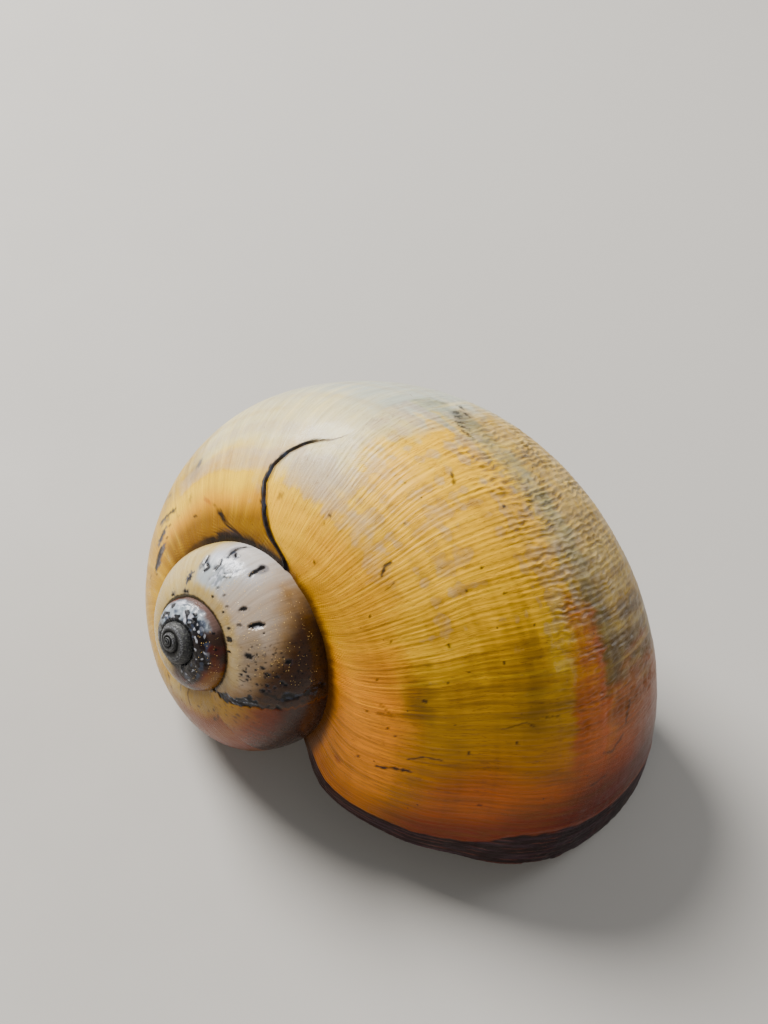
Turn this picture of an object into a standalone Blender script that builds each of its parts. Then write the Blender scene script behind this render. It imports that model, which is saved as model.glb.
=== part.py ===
"""Apple snail drawn back into its shell, life size, resting mouth down on the floor.

The shell is one tube coiled round an axis, growing by the same factor each turn. Its whorls are
lengths of that tube, and each later length is cut back from the earlier ones that it lies against.
Angles along the coil are in degrees: zero is near the mouth, and minus 360 is one turn older.
Lengths named as shell radii are multiples of SHELL_RADIUS.
"""
import math

import bmesh
import bpy
from mathutils import Matrix, Vector

# Driving sizes, in metres
SHELL_RADIUS = 0.048          # from the coiling axis to the outer side of the last whorl
JOINT_GAP = 0.0003            # between pieces that touch
AXIS_CLEAR = 0.0001           # nothing reaches nearer than this to the coiling axis
LIP_WALL = 0.0015             # thickness of the outer lip
COLUMELLA_WALL = 0.0030       # thickness of the inner lip, next to the coiling axis
LIP_DEPTH = 0.0092            # the lips are named this far into the mouth
FLESH_RIM = 0.0012            # width of the foot that shows round the operculum
OPERCULUM_DEPTH = 0.0046      # from the plane of the mouth to the operculum
OPERCULUM_THICKNESS = 0.0014
FLOOR_CUT = 0.0005            # flats on the lip and on the belly of the shell, where it stands

# Growth of the coil, per radian
GROWTH = 0.16995
GROWTH_CHANGE = 0.00576       # young whorls grow more slowly
GROWTH_BEND = 0.000169
STEADY_BEFORE = -720          # older than this the growth stays the same
DESCENT_POWER = 1.1213        # the spire is drawn out by this power of the growth

# Cross-section of the whorl at zero degrees, in shell radii
SECTION_RADIUS = 0.5212
SECTION_DEPTH = -0.9624
SECTION_WAVES = ((2, -0.1125, -0.0749), (3, 0.0219, 0.0071), (4, -0.0134, 0.0251))

# Older whorls are slimmer than the coil's own growth gives, and shrink towards their suture
SUTURE = Vector((0.3811, -0.3624))
SLIMMER = 0.0526              # per radian, on top of the growth
FULL_FROM = -141              # from here to the mouth the section has its full width
SLIM_EASE = 60                # the change comes in over this much on either side

# Plane of the mouth, in the shell's own axes: inward normal, and distance in shell radii
MOUTH_NORMAL = Vector((-0.3266, 1.0, 0.2353)).normalized()
MOUTH_OFFSET = -0.3415
MOUTH_ACROSS = Vector((1.0, 0.3266, 0.0)).normalized()
LIP_SPLIT = 0.24              # across the mouth, where the inner lip meets the outer lip

# Lengths of the tube, in degrees
APEX_LENGTHS = ((-1790, -1570), (-1574, -1360), (-1364, -1150), (-1154, -940))
SPIRE_END = -640
PENULTIMATE_END = -340
SCAR = -118                   # an old lip, where growth stopped for a time
LIP_START = -60
MOUTH_END = 50
BACKLAP = 4                   # a length starts this much early and is cut back

# Facets: degrees along the tube, and sides round it
APEX_FACETS = (24, 12)
SPIRE_FACETS = (15, 22)
PENULTIMATE_FACETS = (11, 22)
OLDER_FACETS = (9, 30)
MOUTH_FACETS = (6, 30)

# How the shell stands: the apex's place, and the direction of the coiling axis in degrees
APEX_AT = Vector((-0.03147, -0.01670, 0.02901 - FLOOR_CUT))
AXIS_RISE = 22.71
AXIS_HEADING = -136.02
AXIS_SPIN = 70.23

BLOCK_WIDTH = 0.25            # of the blocks that cut, wider than the shell
SMOOTH_BELOW = 35             # degrees between facets that are shaded as one surface

PARTS = "apple_snail"
CUTTERS = "cutters"
# Colour and roughness
FINISHES = {
    "apex": ((0.10, 0.09, 0.10), 0.5),
    "spire_whorl": ((0.12, 0.07, 0.06), 0.3),
    "penultimate_whorl": ((0.42, 0.35, 0.27), 0.25),
    "body_whorl_older": ((0.55, 0.40, 0.14), 0.3),
    "body_whorl": ((0.52, 0.33, 0.06), 0.3),
    "outer_lip": ((0.10, 0.05, 0.05), 0.3),
    "inner_lip": ((0.55, 0.42, 0.30), 0.2),
    "operculum": ((0.16, 0.07, 0.03), 0.4),
    "foot": ((0.14, 0.12, 0.10), 0.35),
}


def clear_scene():
    for old in list(bpy.data.objects):
        bpy.data.objects.remove(old, do_unlink=True)


def new_collection(name):
    collection = bpy.data.collections.new(name)
    bpy.context.scene.collection.children.link(collection)


def make_material(name):
    colour, roughness = FINISHES[name]
    material = bpy.data.materials.new(name)
    material.use_nodes = True
    shader = material.node_tree.nodes["Principled BSDF"]
    shader.inputs["Base Color"].default_value = (*colour, 1.0)
    shader.inputs["Roughness"].default_value = roughness
    shader.inputs["Metallic"].default_value = 0.0
    return material


def size_at(angle):
    """Size of the tube at an angle along the coil, one at zero degrees."""
    turn = math.radians(angle)
    knee = math.radians(STEADY_BEFORE)
    young = max(turn, knee)
    log_size = GROWTH * young + GROWTH_CHANGE * young ** 2 + GROWTH_BEND * young ** 3
    steady = GROWTH + 2 * GROWTH_CHANGE * knee + 3 * GROWTH_BEND * knee ** 2
    log_size += steady * (turn - young)
    return math.exp(log_size)


def width_at(angle):
    """Width of the section at an angle, against one of full width."""
    ease = math.radians(SLIM_EASE)
    older = math.radians(FULL_FROM - angle)
    if older < ease:
        older = max(older + ease, 0) ** 2 / (4 * ease)
    return math.exp(-SLIMMER * older)


def reach_at(side):
    """Unscaled distance from the middle of the cross-section to its outline."""
    return 1 + sum(c * math.cos(n * side) + s * math.sin(n * side) for n, c, s in SECTION_WAVES)


QUARTER_DEGREES = [math.radians(step / 4) for step in range(1440)]
REACH_SCALE = (1 - SECTION_RADIUS) / max(reach_at(a) * math.cos(a) for a in QUARTER_DEGREES)


def outline(side):
    """Point of the cross-section at zero degrees, as radius and height in shell radii."""
    reach = reach_at(side) * REACH_SCALE
    middle = Vector((SECTION_RADIUS, SECTION_DEPTH))
    return middle + reach * Vector((math.cos(side), math.sin(side)))


def outline_normal(side):
    """Outward direction of the cross-section's outline."""
    step = 0.001
    along = outline(side + step) - outline(side - step)
    return Vector((along.y, -along.x)).normalized()


def wall_at(side):
    """Thickness of the lip, which grows towards the coiling axis."""
    towards_axis = 0.5 - 0.5 * math.cos(side)
    return LIP_WALL + (COLUMELLA_WALL - LIP_WALL) * towards_axis ** 3


def tube_point(angle, side, grow):
    """Point on the tube in the shell's own axes, pushed outward by grow."""
    size = size_at(angle)
    place = SUTURE + (outline(side) - SUTURE) * width_at(angle)
    push = outline_normal(side) * grow
    radius = max(place.x * size * SHELL_RADIUS + push.x, AXIS_CLEAR)
    fall = SECTION_DEPTH * size ** DESCENT_POWER + (place.y - SECTION_DEPTH) * size
    turn = math.radians(-angle)
    return Vector((radius * math.cos(turn), radius * math.sin(turn), fall * SHELL_RADIUS + push.y))


def tube(name, start, end, facets, grow=0.0):
    """Closed length of the coiled tube. grow is a length, or a function of the side."""
    step, sides = facets
    rows = max(2, round((end - start) / step))
    rings = []
    for row in range(rows + 1):
        angle = start + (end - start) * row / rows
        around = [2 * math.pi * i / sides for i in range(sides)]
        rings.append([tube_point(angle, s, grow(s) if callable(grow) else grow) for s in around])
    if not callable(grow):
        for ring, angle, push in ((rings[0], start, -grow), (rings[-1], end, grow)):
            along = Vector((math.sin(math.radians(-angle)), -math.cos(math.radians(angle)), 0))
            ring[:] = [point + along * push for point in ring]
    mesh = bmesh.new()
    loops = [[mesh.verts.new(point) for point in ring] for ring in rings]
    for older, newer in zip(loops, loops[1:]):
        for i in range(sides):
            j = (i + 1) % sides
            mesh.faces.new((older[i], newer[i], newer[j]))
            mesh.faces.new((older[i], newer[j], older[j]))
    mesh.faces.new(loops[0])
    mesh.faces.new(reversed(loops[-1]))
    bmesh.ops.recalc_face_normals(mesh, faces=mesh.faces)
    return to_object(name, mesh)


def to_object(name, mesh):
    data = bpy.data.meshes.new(name)
    mesh.to_mesh(data)
    mesh.free()
    return bpy.data.objects.new(name, data)


def block(name, direction, near, far):
    """Wide block square to a direction, from the distance near to far along it."""
    mesh = bmesh.new()
    bmesh.ops.create_cube(mesh, size=1.0)
    turn = direction.to_track_quat("Z", "Y").to_matrix().to_4x4()
    size = Matrix.Diagonal((BLOCK_WIDTH, BLOCK_WIDTH, far - near, 1))
    place = Matrix.Translation(direction * (near + far) / 2) @ turn @ size
    bmesh.ops.transform(mesh, matrix=place, verts=mesh.verts)
    return to_object(name, mesh)


def mouth_layer(name, near, far):
    """Block parallel to the mouth that fills the depths from near to far inside its plane."""
    plane = MOUTH_OFFSET * SHELL_RADIUS
    return block(name, MOUTH_NORMAL, plane + near, plane + far)


def file_cutter(thing, parent):
    bpy.data.collections[CUTTERS].objects.link(thing)
    thing.parent = parent
    thing.hide_render = True
    thing.display_type = "WIRE"
    return thing


def file_part(thing, name, parent):
    bpy.data.collections[PARTS].objects.link(thing)
    thing.name = name
    thing.data.name = name
    thing.parent = parent
    thing.data.materials.append(make_material(name))
    return thing


def boolean(thing, operation, other):
    modifier = thing.modifiers.new(operation.title(), "BOOLEAN")
    modifier.operation = operation
    modifier.object = other
    modifier.solver = "EXACT"


def surfaces(mesh):
    """Connected sets of the mesh's vertices, smallest first."""
    found = []
    left = set(mesh.verts)
    while left:
        queue = [left.pop()]
        surface = set(queue)
        while queue:
            for edge in queue.pop().link_edges:
                for vert in edge.verts:
                    if vert in left:
                        left.remove(vert)
                        surface.add(vert)
                        queue.append(vert)
        found.append(surface)
    return sorted(found, key=len)


def apply_cuts(part):
    """Apply the part's modifiers, keep its largest closed surface and shade it."""
    bpy.context.view_layer.update()
    evaluated = part.evaluated_get(bpy.context.evaluated_depsgraph_get())
    data = bpy.data.meshes.new_from_object(evaluated)
    part.modifiers.clear()
    mesh = bmesh.new()
    mesh.from_mesh(data)
    for scrap in surfaces(mesh)[:-1]:
        bmesh.ops.delete(mesh, geom=list(scrap), context="VERTS")
    mesh.to_mesh(data)
    mesh.free()
    data.shade_smooth()
    data.set_sharp_from_angle(angle=math.radians(SMOOTH_BELOW))
    old = part.data
    part.data = data
    bpy.data.meshes.remove(old)
    data.name = part.name


def make_axis():
    """Empty at the apex, whose Z axis is the coiling axis."""
    axis = bpy.data.objects.new("coiling_axis", None)
    bpy.data.collections[PARTS].objects.link(axis)
    axis.matrix_world = (
        Matrix.Translation(APEX_AT)
        @ Matrix.Rotation(math.radians(AXIS_HEADING), 4, "Z")
        @ Matrix.Rotation(math.radians(90 - AXIS_RISE), 4, "Y")
        @ Matrix.Rotation(math.radians(AXIS_SPIN), 4, "Z")
    )
    return axis


def make_apex(axis):
    """The oldest whorls, joined from short lengths. Also gives the cutters that clear them."""
    lengths = [tube("apex_length", *ends, APEX_FACETS) for ends in APEX_LENGTHS]
    apex = file_part(lengths.pop(), "apex", axis)
    for length in lengths:
        boolean(apex, "UNION", file_cutter(length, axis))
    apply_cuts(apex)
    clear = [tube("clear_apex", *ends, APEX_FACETS, JOINT_GAP) for ends in APEX_LENGTHS]
    return apex, [file_cutter(thing, axis) for thing in clear]


def make_piece(name, length, layer, others, axis):
    """Part from a length of tube, kept inside a layer, if any, and clear of the others."""
    part = file_part(length, name, axis)
    if layer:
        boolean(part, "INTERSECT", file_cutter(layer, axis))
    for other in others:
        boolean(part, "DIFFERENCE", other)
    apply_cuts(part)
    return part


def make_whorls(axis):
    """The whorls up to the scar, oldest first, and the cutters that clear them."""
    apex, clear = make_apex(axis)
    parts = [apex]
    plan = (
        ("spire_whorl", APEX_LENGTHS[-1][1], SPIRE_END, SPIRE_FACETS),
        ("penultimate_whorl", SPIRE_END, PENULTIMATE_END, PENULTIMATE_FACETS),
        ("body_whorl_older", PENULTIMATE_END, SCAR, OLDER_FACETS),
    )
    for name, start, end, facets in plan:
        length = (start - BACKLAP, end, facets)
        parts.append(make_piece(name, tube(name, *length), None, clear, axis))
        clear.append(file_cutter(tube("clear_" + name, *length, JOINT_GAP), axis))
    return parts, clear


def make_mouth(axis, clear):
    """The newest whorl, its lips, the operculum that shuts it and the foot behind."""
    newest = ("newest", LIP_START, MOUTH_END, MOUTH_FACETS)
    behind_lips = mouth_layer("behind_lips", LIP_DEPTH + JOINT_GAP, BLOCK_WIDTH)
    whorl = tube("newest", SCAR - BACKLAP, MOUTH_END, MOUTH_FACETS)
    parts = [make_piece("body_whorl", whorl, behind_lips, clear, axis)]

    hollow = file_cutter(tube("hollow", LIP_START - BACKLAP, MOUTH_END + BACKLAP, MOUTH_FACETS,
                              lambda side: -wall_at(side)), axis)
    split = LIP_SPLIT * SHELL_RADIUS
    beyond = {
        "outer_lip": block("inner_side", MOUTH_ACROSS, -BLOCK_WIDTH, split + JOINT_GAP),
        "inner_lip": block("outer_side", MOUTH_ACROSS, split, BLOCK_WIDTH),
    }
    for name, side in beyond.items():
        layer = mouth_layer("lip_layer", 0, LIP_DEPTH)
        others = [hollow, file_cutter(side, axis), *clear]
        parts.append(make_piece(name, tube(*newest), layer, others, axis))

    back = OPERCULUM_DEPTH + OPERCULUM_THICKNESS
    plate = tube(*newest, lambda side: -wall_at(side) - FLESH_RIM)
    layer = mouth_layer("plate_layer", OPERCULUM_DEPTH, back)
    parts.append(make_piece("operculum", plate, layer, clear_of_plate(axis), axis))
    flesh = tube(*newest, lambda side: -wall_at(side) - JOINT_GAP)
    layer = mouth_layer("flesh_layer", back + JOINT_GAP, LIP_DEPTH)
    parts.append(make_piece("foot", flesh, layer, clear, axis))
    return parts


def clear_of_plate(axis):
    """Cutters that keep the operculum a rim of flesh away from the older whorls."""
    lengths = (
        (SPIRE_END - BACKLAP, PENULTIMATE_END, PENULTIMATE_FACETS),
        (PENULTIMATE_END - BACKLAP, SCAR, OLDER_FACETS),
    )
    return [file_cutter(tube("rim", *length, FLESH_RIM), axis) for length in lengths]


def main():
    clear_scene()
    new_collection(PARTS)
    new_collection(CUTTERS)
    axis = make_axis()
    parts, clear = make_whorls(axis)
    parts += make_mouth(axis, clear)
    floor = file_cutter(block("floor", Vector((0, 0, 1)), -BLOCK_WIDTH, 0), None)
    for part in parts:
        boolean(part, "DIFFERENCE", floor)


main()
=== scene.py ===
"""Looks of an apple snail drawn back into its shell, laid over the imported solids.

The shell is one tube coiled round an axis. A point on it has an angle along the coil in degrees,
zero near the mouth and less where the shell is older, and a side round the whorl in degrees,
zero at the periphery and about a hundred at the suture. A growth line is named by its age, the
angle at which it crosses side zero. Reliefs are in millimetres, everything else in metres.
"""
import math

import bmesh
import bpy
import numpy as np
from bpy.props import FloatProperty, FloatVectorProperty, IntProperty, PointerProperty
from bpy.types import Operator, Panel, PropertyGroup
from mathutils import Euler, Matrix, Vector


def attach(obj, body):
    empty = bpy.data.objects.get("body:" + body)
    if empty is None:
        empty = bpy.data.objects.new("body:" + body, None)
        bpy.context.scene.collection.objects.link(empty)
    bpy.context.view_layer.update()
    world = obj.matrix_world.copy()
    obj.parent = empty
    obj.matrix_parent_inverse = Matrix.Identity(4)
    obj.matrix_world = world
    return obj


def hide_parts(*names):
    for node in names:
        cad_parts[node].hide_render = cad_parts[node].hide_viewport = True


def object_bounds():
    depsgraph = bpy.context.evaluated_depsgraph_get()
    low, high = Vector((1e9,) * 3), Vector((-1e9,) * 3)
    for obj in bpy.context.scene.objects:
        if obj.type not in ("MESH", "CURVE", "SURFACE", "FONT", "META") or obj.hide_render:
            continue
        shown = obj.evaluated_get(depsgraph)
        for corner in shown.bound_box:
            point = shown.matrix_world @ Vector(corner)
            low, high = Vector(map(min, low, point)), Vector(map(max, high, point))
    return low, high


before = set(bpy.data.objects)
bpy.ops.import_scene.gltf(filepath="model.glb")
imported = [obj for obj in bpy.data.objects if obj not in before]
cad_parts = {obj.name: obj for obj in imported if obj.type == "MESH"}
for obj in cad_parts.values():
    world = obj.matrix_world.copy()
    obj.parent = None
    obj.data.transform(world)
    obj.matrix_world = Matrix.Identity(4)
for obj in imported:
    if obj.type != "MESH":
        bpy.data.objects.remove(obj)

bl_info = {
    "name": "Apple Snail",
    "version": (1, 0, 0),
    "blender": (4, 5, 0),
    "location": "3D View > Sidebar > Apple Snail",
    "description": "Dresses the apple snail's solids with its shell, operculum and foot",
    "category": "Add Mesh",
}

MM = 0.001
BOX = [tuple(corner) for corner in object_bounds()]
BOX_EASE = 0.00025
HIDDEN_SIDE = -240

# The coil, as the solids have it
SHELL_RADIUS = 0.048
AXIS_CLEAR = 0.0001
GROWTH = 0.16995
GROWTH_CHANGE = 0.00576
GROWTH_BEND = 0.000169
KNEE = math.radians(-720)
DESCENT_POWER = 1.1213
SECTION_RADIUS = 0.5212
SECTION_DEPTH = -0.9624
SECTION_WAVES = ((2, -0.1125, -0.0749), (3, 0.0219, 0.0071), (4, -0.0134, 0.0251))
SUTURE = (0.3811, -0.3624)
SLIMMER = 0.0526
FULL_FROM = -141
SLIM_EASE = math.radians(60)
MOUTH_NORMAL = np.array((-0.3266, 1.0, 0.2353)) / math.hypot(-0.3266, 1.0, 0.2353)
MOUTH_OFFSET = -0.3415 * SHELL_RADIUS
APEX_AT = np.array((-0.03147, -0.01670, 0.02851))
AXIS_TURN = np.array(
    Matrix.Rotation(math.radians(-136.02), 3, "Z")
    @ Matrix.Rotation(math.radians(90 - 22.71), 3, "Y")
    @ Matrix.Rotation(math.radians(70.23), 3, "Z")
)

# Pieces, by the angles at which they start and end
APEX_START = -2660
SPIRE_START = -940
PENULTIMATE_START = -640
OLDER_START = -340
SCAR_AGE = -118
LIP_AGE = -20

CLOSED_SIDES = (-254, 106)


def smooth(low, high, value):
    """Rises smoothly from nought at low to one at high."""
    t = np.clip((value - low) / (high - low), 0, 1)
    return t * t * (3 - 2 * t)


def band(low, high, soft, value):
    """One between low and high, fading to nought over soft beyond each."""
    return smooth(low - soft, low, value) * (1 - smooth(high, high + soft, value))


def coil_size(angle):
    """Size of the tube, one at angle zero."""
    turn = np.radians(angle)
    young = np.maximum(turn, KNEE)
    log_size = GROWTH * young + GROWTH_CHANGE * young**2 + GROWTH_BEND * young**3
    steady = GROWTH + 2 * GROWTH_CHANGE * KNEE + 3 * GROWTH_BEND * KNEE**2
    return np.exp(log_size + steady * (turn - young))


def coil_width(angle):
    """How much slimmer an older whorl is than its size alone gives."""
    older = np.radians(FULL_FROM - angle)
    eased = np.maximum(older + SLIM_EASE, 0) ** 2 / (4 * SLIM_EASE)
    pinched = 1 - 0.17 * np.exp(-(((angle + 585) / 75) ** 2)) - 0.045 * np.exp(-(((angle + 330) / 40) ** 2))
    return np.exp(-SLIMMER * np.where(older < SLIM_EASE, eased, older)) * pinched


def reach(side):
    return 1 + sum(c * np.cos(n * side) + s * np.sin(n * side) for n, c, s in SECTION_WAVES)


QUARTERS = np.radians(np.arange(1440) / 4)
REACH_SCALE = (1 - SECTION_RADIUS) / np.max(reach(QUARTERS) * np.cos(QUARTERS))


def outline(side):
    """Radius and height of the whorl's section at a side in degrees, in shell radii."""
    turn = np.radians(side)
    out = reach(turn) * REACH_SCALE
    return SECTION_RADIUS + out * np.cos(turn), SECTION_DEPTH + out * np.sin(turn)


def coil_point(angle, side, grow=0.0):
    """Points on the tube in the shell's own axes, pushed out by grow."""
    x, y = outline(side)
    x_on, y_on = outline(side + 0.06)
    x_back, y_back = outline(side - 0.06)
    along_x, along_y = x_on - x_back, y_on - y_back
    length = np.hypot(along_x, along_y)
    width = coil_width(angle)
    size = coil_size(angle)
    x = SUTURE[0] + (x - SUTURE[0]) * width
    y = SUTURE[1] + (y - SUTURE[1]) * width
    radius = np.maximum(x * size * SHELL_RADIUS + along_y / length * grow, AXIS_CLEAR)
    fall = SECTION_DEPTH * size**DESCENT_POWER + (y - SECTION_DEPTH) * size
    turn = np.radians(-angle)
    height = fall * SHELL_RADIUS - along_x / length * grow
    return np.stack([radius * np.cos(turn), radius * np.sin(turn), height], -1)


def place(points):
    """Points in the shell's own axes, as they stand on the floor."""
    return points @ AXIS_TURN.T + APEX_AT


def settle(points):
    """The same points, eased back where they would leave the solids' box or sink into the floor."""
    for axis in range(3):
        for wall, way in ((BOX[0][axis], 1), (BOX[1][axis], -1)):
            room = (points[..., axis] - wall) * way
            eased = BOX_EASE * np.exp(np.minimum(room / BOX_EASE - 1, 0))
            points[..., axis] = wall + way * np.where(room > BOX_EASE, room, eased)
    return points


def mouth_angle(side, depth=0.0, grow=0.0):
    """Angle at which each side meets the plane of the mouth, or one parallel to it inside."""
    side = np.asarray(side, float)
    low, high = np.full(side.shape, -75.0), np.full(side.shape, 50.0)
    for _ in range(26):
        middle = (low + high) / 2
        inside = coil_point(middle, side, grow) @ MOUTH_NORMAL > MOUTH_OFFSET + depth
        low, high = np.where(inside, middle, low), np.where(inside, high, middle)
    return (low + high) / 2


# The lip runs a little before or after the plane of the mouth
LIP_WAVE = (
    (-60, 0), (-45, 0), (-35, 0.5), (-25, 1.5), (-10, 2.2), (0, 1.9), (10, 1.0), (20, 0), (30, -0.7),
    (40, -1.4), (48, -1.8), (56, -1.1), (64, -0.1), (72, 0.1), (80, 0.7), (88, 1.0), (93, 0.2),
    (97, -2.2), (100, -5.0), (103, -8.0), (106, -10.5),
)
SIDE_TABLE = np.arange(-254.0, 106.5, 0.5)


def lip_table():
    sides, shifts = np.array(LIP_WAVE, float).T
    wave = np.interp(SIDE_TABLE, sides, shifts)
    soft = np.convolve(np.pad(wave, 6, "edge"), np.full(13, 1 / 13), "valid")
    return mouth_angle(SIDE_TABLE) + np.where(SIDE_TABLE > 90, wave, soft)


LIP_TABLE = lip_table()


def lip_angle(side):
    return np.interp(side, SIDE_TABLE, LIP_TABLE)


LIP_AT_ZERO = float(lip_angle(0.0))


def lean(age):
    """How much of the lip's own slant a growth line has."""
    return 0.5 + 0.5 * smooth(-45, -12, age)


def line_angle(age, side):
    """Angle at which the growth line of an age crosses a side."""
    return age + lean(age) * (lip_angle(side) - LIP_AT_ZERO)


def line_age(angle, side):
    """Age of the growth line through a point."""
    age = angle - 0.5 * (lip_angle(side) - LIP_AT_ZERO)
    for _ in range(12):
        age = age - 0.7 * (line_angle(age, side) - angle)
    return age


# Lengths in millimetres along the coil's outer side, and round the section at full size
ANGLES = np.arange(-1800.0, 62.0)
GROWN = np.cumsum(coil_size(ANGLES)) * math.radians(1) * SHELL_RADIUS / MM
ROUND_SIDES = np.arange(-260.0, 110.5, 0.5)
ROUND = np.concatenate([[0], np.cumsum(np.hypot(*(np.diff(c) for c in outline(ROUND_SIDES))))])
ROUND = (ROUND - np.interp(0, ROUND_SIDES, ROUND)) * SHELL_RADIUS / MM


def grown(age):
    return np.interp(age, ANGLES, GROWN)


def round_length(age, side):
    return np.interp(side, ROUND_SIDES, ROUND) * coil_size(age) * coil_width(age)


def lattice(x, y, seed):
    """A fixed direction for each point of the grid that noise is made on."""
    n = (x.astype(np.int64) * 374761393 + y.astype(np.int64) * 668265263 + seed * 1442695041) & 0xFFFFFFFF
    n = ((n ^ (n >> 13)) * 1274126177) & 0xFFFFFFFF
    return (n ^ (n >> 16)) / 0xFFFFFFFF * 2 * np.pi


def noise(x, y, seed):
    """Smooth noise over two coordinates, mostly between minus one and one."""
    x, y = np.broadcast_arrays(np.asarray(x, float), np.asarray(y, float))
    x0, y0 = np.floor(x), np.floor(y)
    fx, fy = x - x0, y - y0
    corners = []
    for dx in (0, 1):
        for dy in (0, 1):
            turn = lattice(x0 + dx, y0 + dy, seed)
            corners.append(np.cos(turn) * (fx - dx) + np.sin(turn) * (fy - dy))
    ux = fx**3 * (fx * (fx * 6 - 15) + 10)
    uy = fy**3 * (fy * (fy * 6 - 15) + 10)
    near = corners[0] + (corners[1] - corners[0]) * uy
    far = corners[2] + (corners[3] - corners[2]) * uy
    return (near + (far - near) * ux) * 1.6


# The old broken lip: where it crosses each side
SCAR_LINE = (
    (20, -113), (40, -116.5), (47, -118), (52, -122), (56, -125), (62, -128), (70, -130),
    (78, -129.3), (85, -125.5), (90, -122), (94, -118), (97, -113), (99, -107), (101, -100),
    (106, -93),
)


def scar_angle(side):
    sides, angles = np.array(SCAR_LINE, float).T
    near = np.interp(side, sides, angles)
    line = line_angle(np.full(np.shape(side), float(SCAR_AGE)), side)
    known = smooth(25, 45, side)
    return line + (near - line) * known


def scar_show(side):
    """How much of the scar is seen at a side."""
    return smooth(49, 55, side)


# ---- relief and colour of the shell ----


def wrinkles(age, side, s, v):
    """Growth lines, and the crumpled coat over the periphery of the newest part."""
    newer = smooth(-128, -96, age)
    top = band(-34, 10, 20, side) * band(-100, -44, 14, age)
    shoulder = band(20, 84, 20, side) * band(-108, -30, 16, age)
    deep = (0.011 + 0.012 * newer + 0.09 * top + 0.018 * shoulder) * coil_size(age) ** 0.5
    deep = deep * (1 - 0.7 * smooth(84, 101, side)) * (1 - 0.6 * smooth(-24, -12, age))
    deep = deep * np.clip(0.8 + 0.7 * noise(s / 3.1, v / 5.5, 3), 0.1, 1.7)
    phase = s / 0.85 + 0.35 * noise(s / 5, v / 14, 1) + 0.16 * noise(s / 1.7, v / 7, 2)
    phase = phase + 0.34 * top * noise(s / 2.0, v / 1.5, 9)
    crest = 1 - 2 * np.abs(np.sin(np.pi * phase)) ** 0.65
    finer = 1 - 3 * np.abs(noise(s / 0.42 + phase, v / 6.5, 10))
    beads = 1 + 0.9 * top * noise(s / 1.3, v / 1.1, 4)
    return deep * (crest * beads + 0.35 * finer) + 0.06 * top * noise(s / 1.0, v / 1.2, 5)


def shell_relief(angle, side):
    """Height in millimetres over the smooth tube."""
    age = line_age(angle, side)
    s, v = grown(age), round_length(age, side)
    newer = smooth(-128, -96, age)
    relief = wrinkles(age, side, s, v)
    relief = relief + 0.011 * noise(s / 0.42, v / 6, 6) * (0.5 + newer)
    relief = relief + (0.04 + 0.03 * newer) * noise(s / 7.5, v / 8.5, 7)
    for rest, height in ((-96.5, 0.05), (-71, 0.04), (-57.5, 0.05), (-44, 0.05), (-31, 0.06), (-25.5, 0.05)):
        relief = relief + height * np.exp(-(((s - grown(rest)) / 0.35) ** 2))
    for groove in (77, 66, 52, 44, 33, 20, 8, -4, -16, -29):
        off = (v - round_length(age, groove) + 0.3 * noise(s / 9, groove, 8)) / 0.25
        relief = relief - 0.022 * np.exp(-off * off) * newer
    return relief


class Paint:
    """Colours of a stretch of shell, laid over one another."""

    def __init__(self, angle, side):
        self.angle, self.side = angle, side
        self.age = line_age(angle, side)
        self.s, self.v = grown(self.age), round_length(self.age, side)
        self.colour = np.zeros((*angle.shape, 3))
        self.mark = np.zeros(angle.shape)
        self.dent = np.zeros(angle.shape)

    def fill(self, colour):
        self.colour[:] = colour

    def lay(self, colour, amount):
        amount = np.clip(amount, 0, 1)[..., None]
        self.colour = self.colour * (1 - amount) + np.array(colour) * amount

    def blob(self, angle, side, long, wide, tilt=0.0, soft=0.6, ragged=0.25, seed=11):
        """Share covered by a ragged oval: half length along the growth line, half width across."""
        scale = coil_size(np.array(float(angle))) * coil_width(np.array(float(angle)))
        s = (self.angle - angle) * math.radians(1) * coil_size(self.angle) * SHELL_RADIUS / MM
        s = s * np.clip(outline(self.side)[0], 0.3, 1)
        v = (np.interp(self.side, ROUND_SIDES, ROUND) - np.interp(side, ROUND_SIDES, ROUND)) * scale
        c, d = math.cos(math.radians(tilt)), math.sin(math.radians(tilt))
        x, y = s * c + v * d, -s * d + v * c
        r = np.sqrt((x / wide) ** 2 + (y / long) ** 2)
        r = r + ragged * noise(s / (0.5 * wide) + seed, v / (0.5 * long), seed)
        return 1 - smooth(1 - soft, 1 + 0.2 * soft, r)

    def stroke(self, points, wide, ragged=0.3, seed=21):
        """Share covered by a brush line through points given as angle and side."""
        cover = np.zeros(self.angle.shape)
        steps = list(zip(points, points[1:]))
        for (a0, b0), (a1, b1) in steps:
            mid = np.array((a0 + a1) / 2.0)
            k = math.radians(1) * float(coil_size(mid)) * SHELL_RADIUS / MM
            k = k * float(np.clip(outline(np.array((b0 + b1) / 2.0))[0], 0.3, 1))
            w = float(coil_size(mid) * coil_width(mid))
            to_v = lambda b: np.interp(b, ROUND_SIDES, ROUND) * w
            p = np.array((a0 * k, to_v(b0)))
            q = np.array((a1 * k, to_v(b1)))
            x, y = self.angle * k - p[0], to_v(self.side) - p[1]
            d = q - p
            t = np.clip((x * d[0] + y * d[1]) / max(d @ d, 1e-9), 0, 1)
            far = np.hypot(x - t * d[0], y - t * d[1])
            far = far + ragged * wide * noise(self.s / (2.2 * wide) + seed, self.v / (2.2 * wide), seed)
            cover = np.maximum(cover, 1 - smooth(0.35 * wide, wide, far))
        return cover


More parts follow.
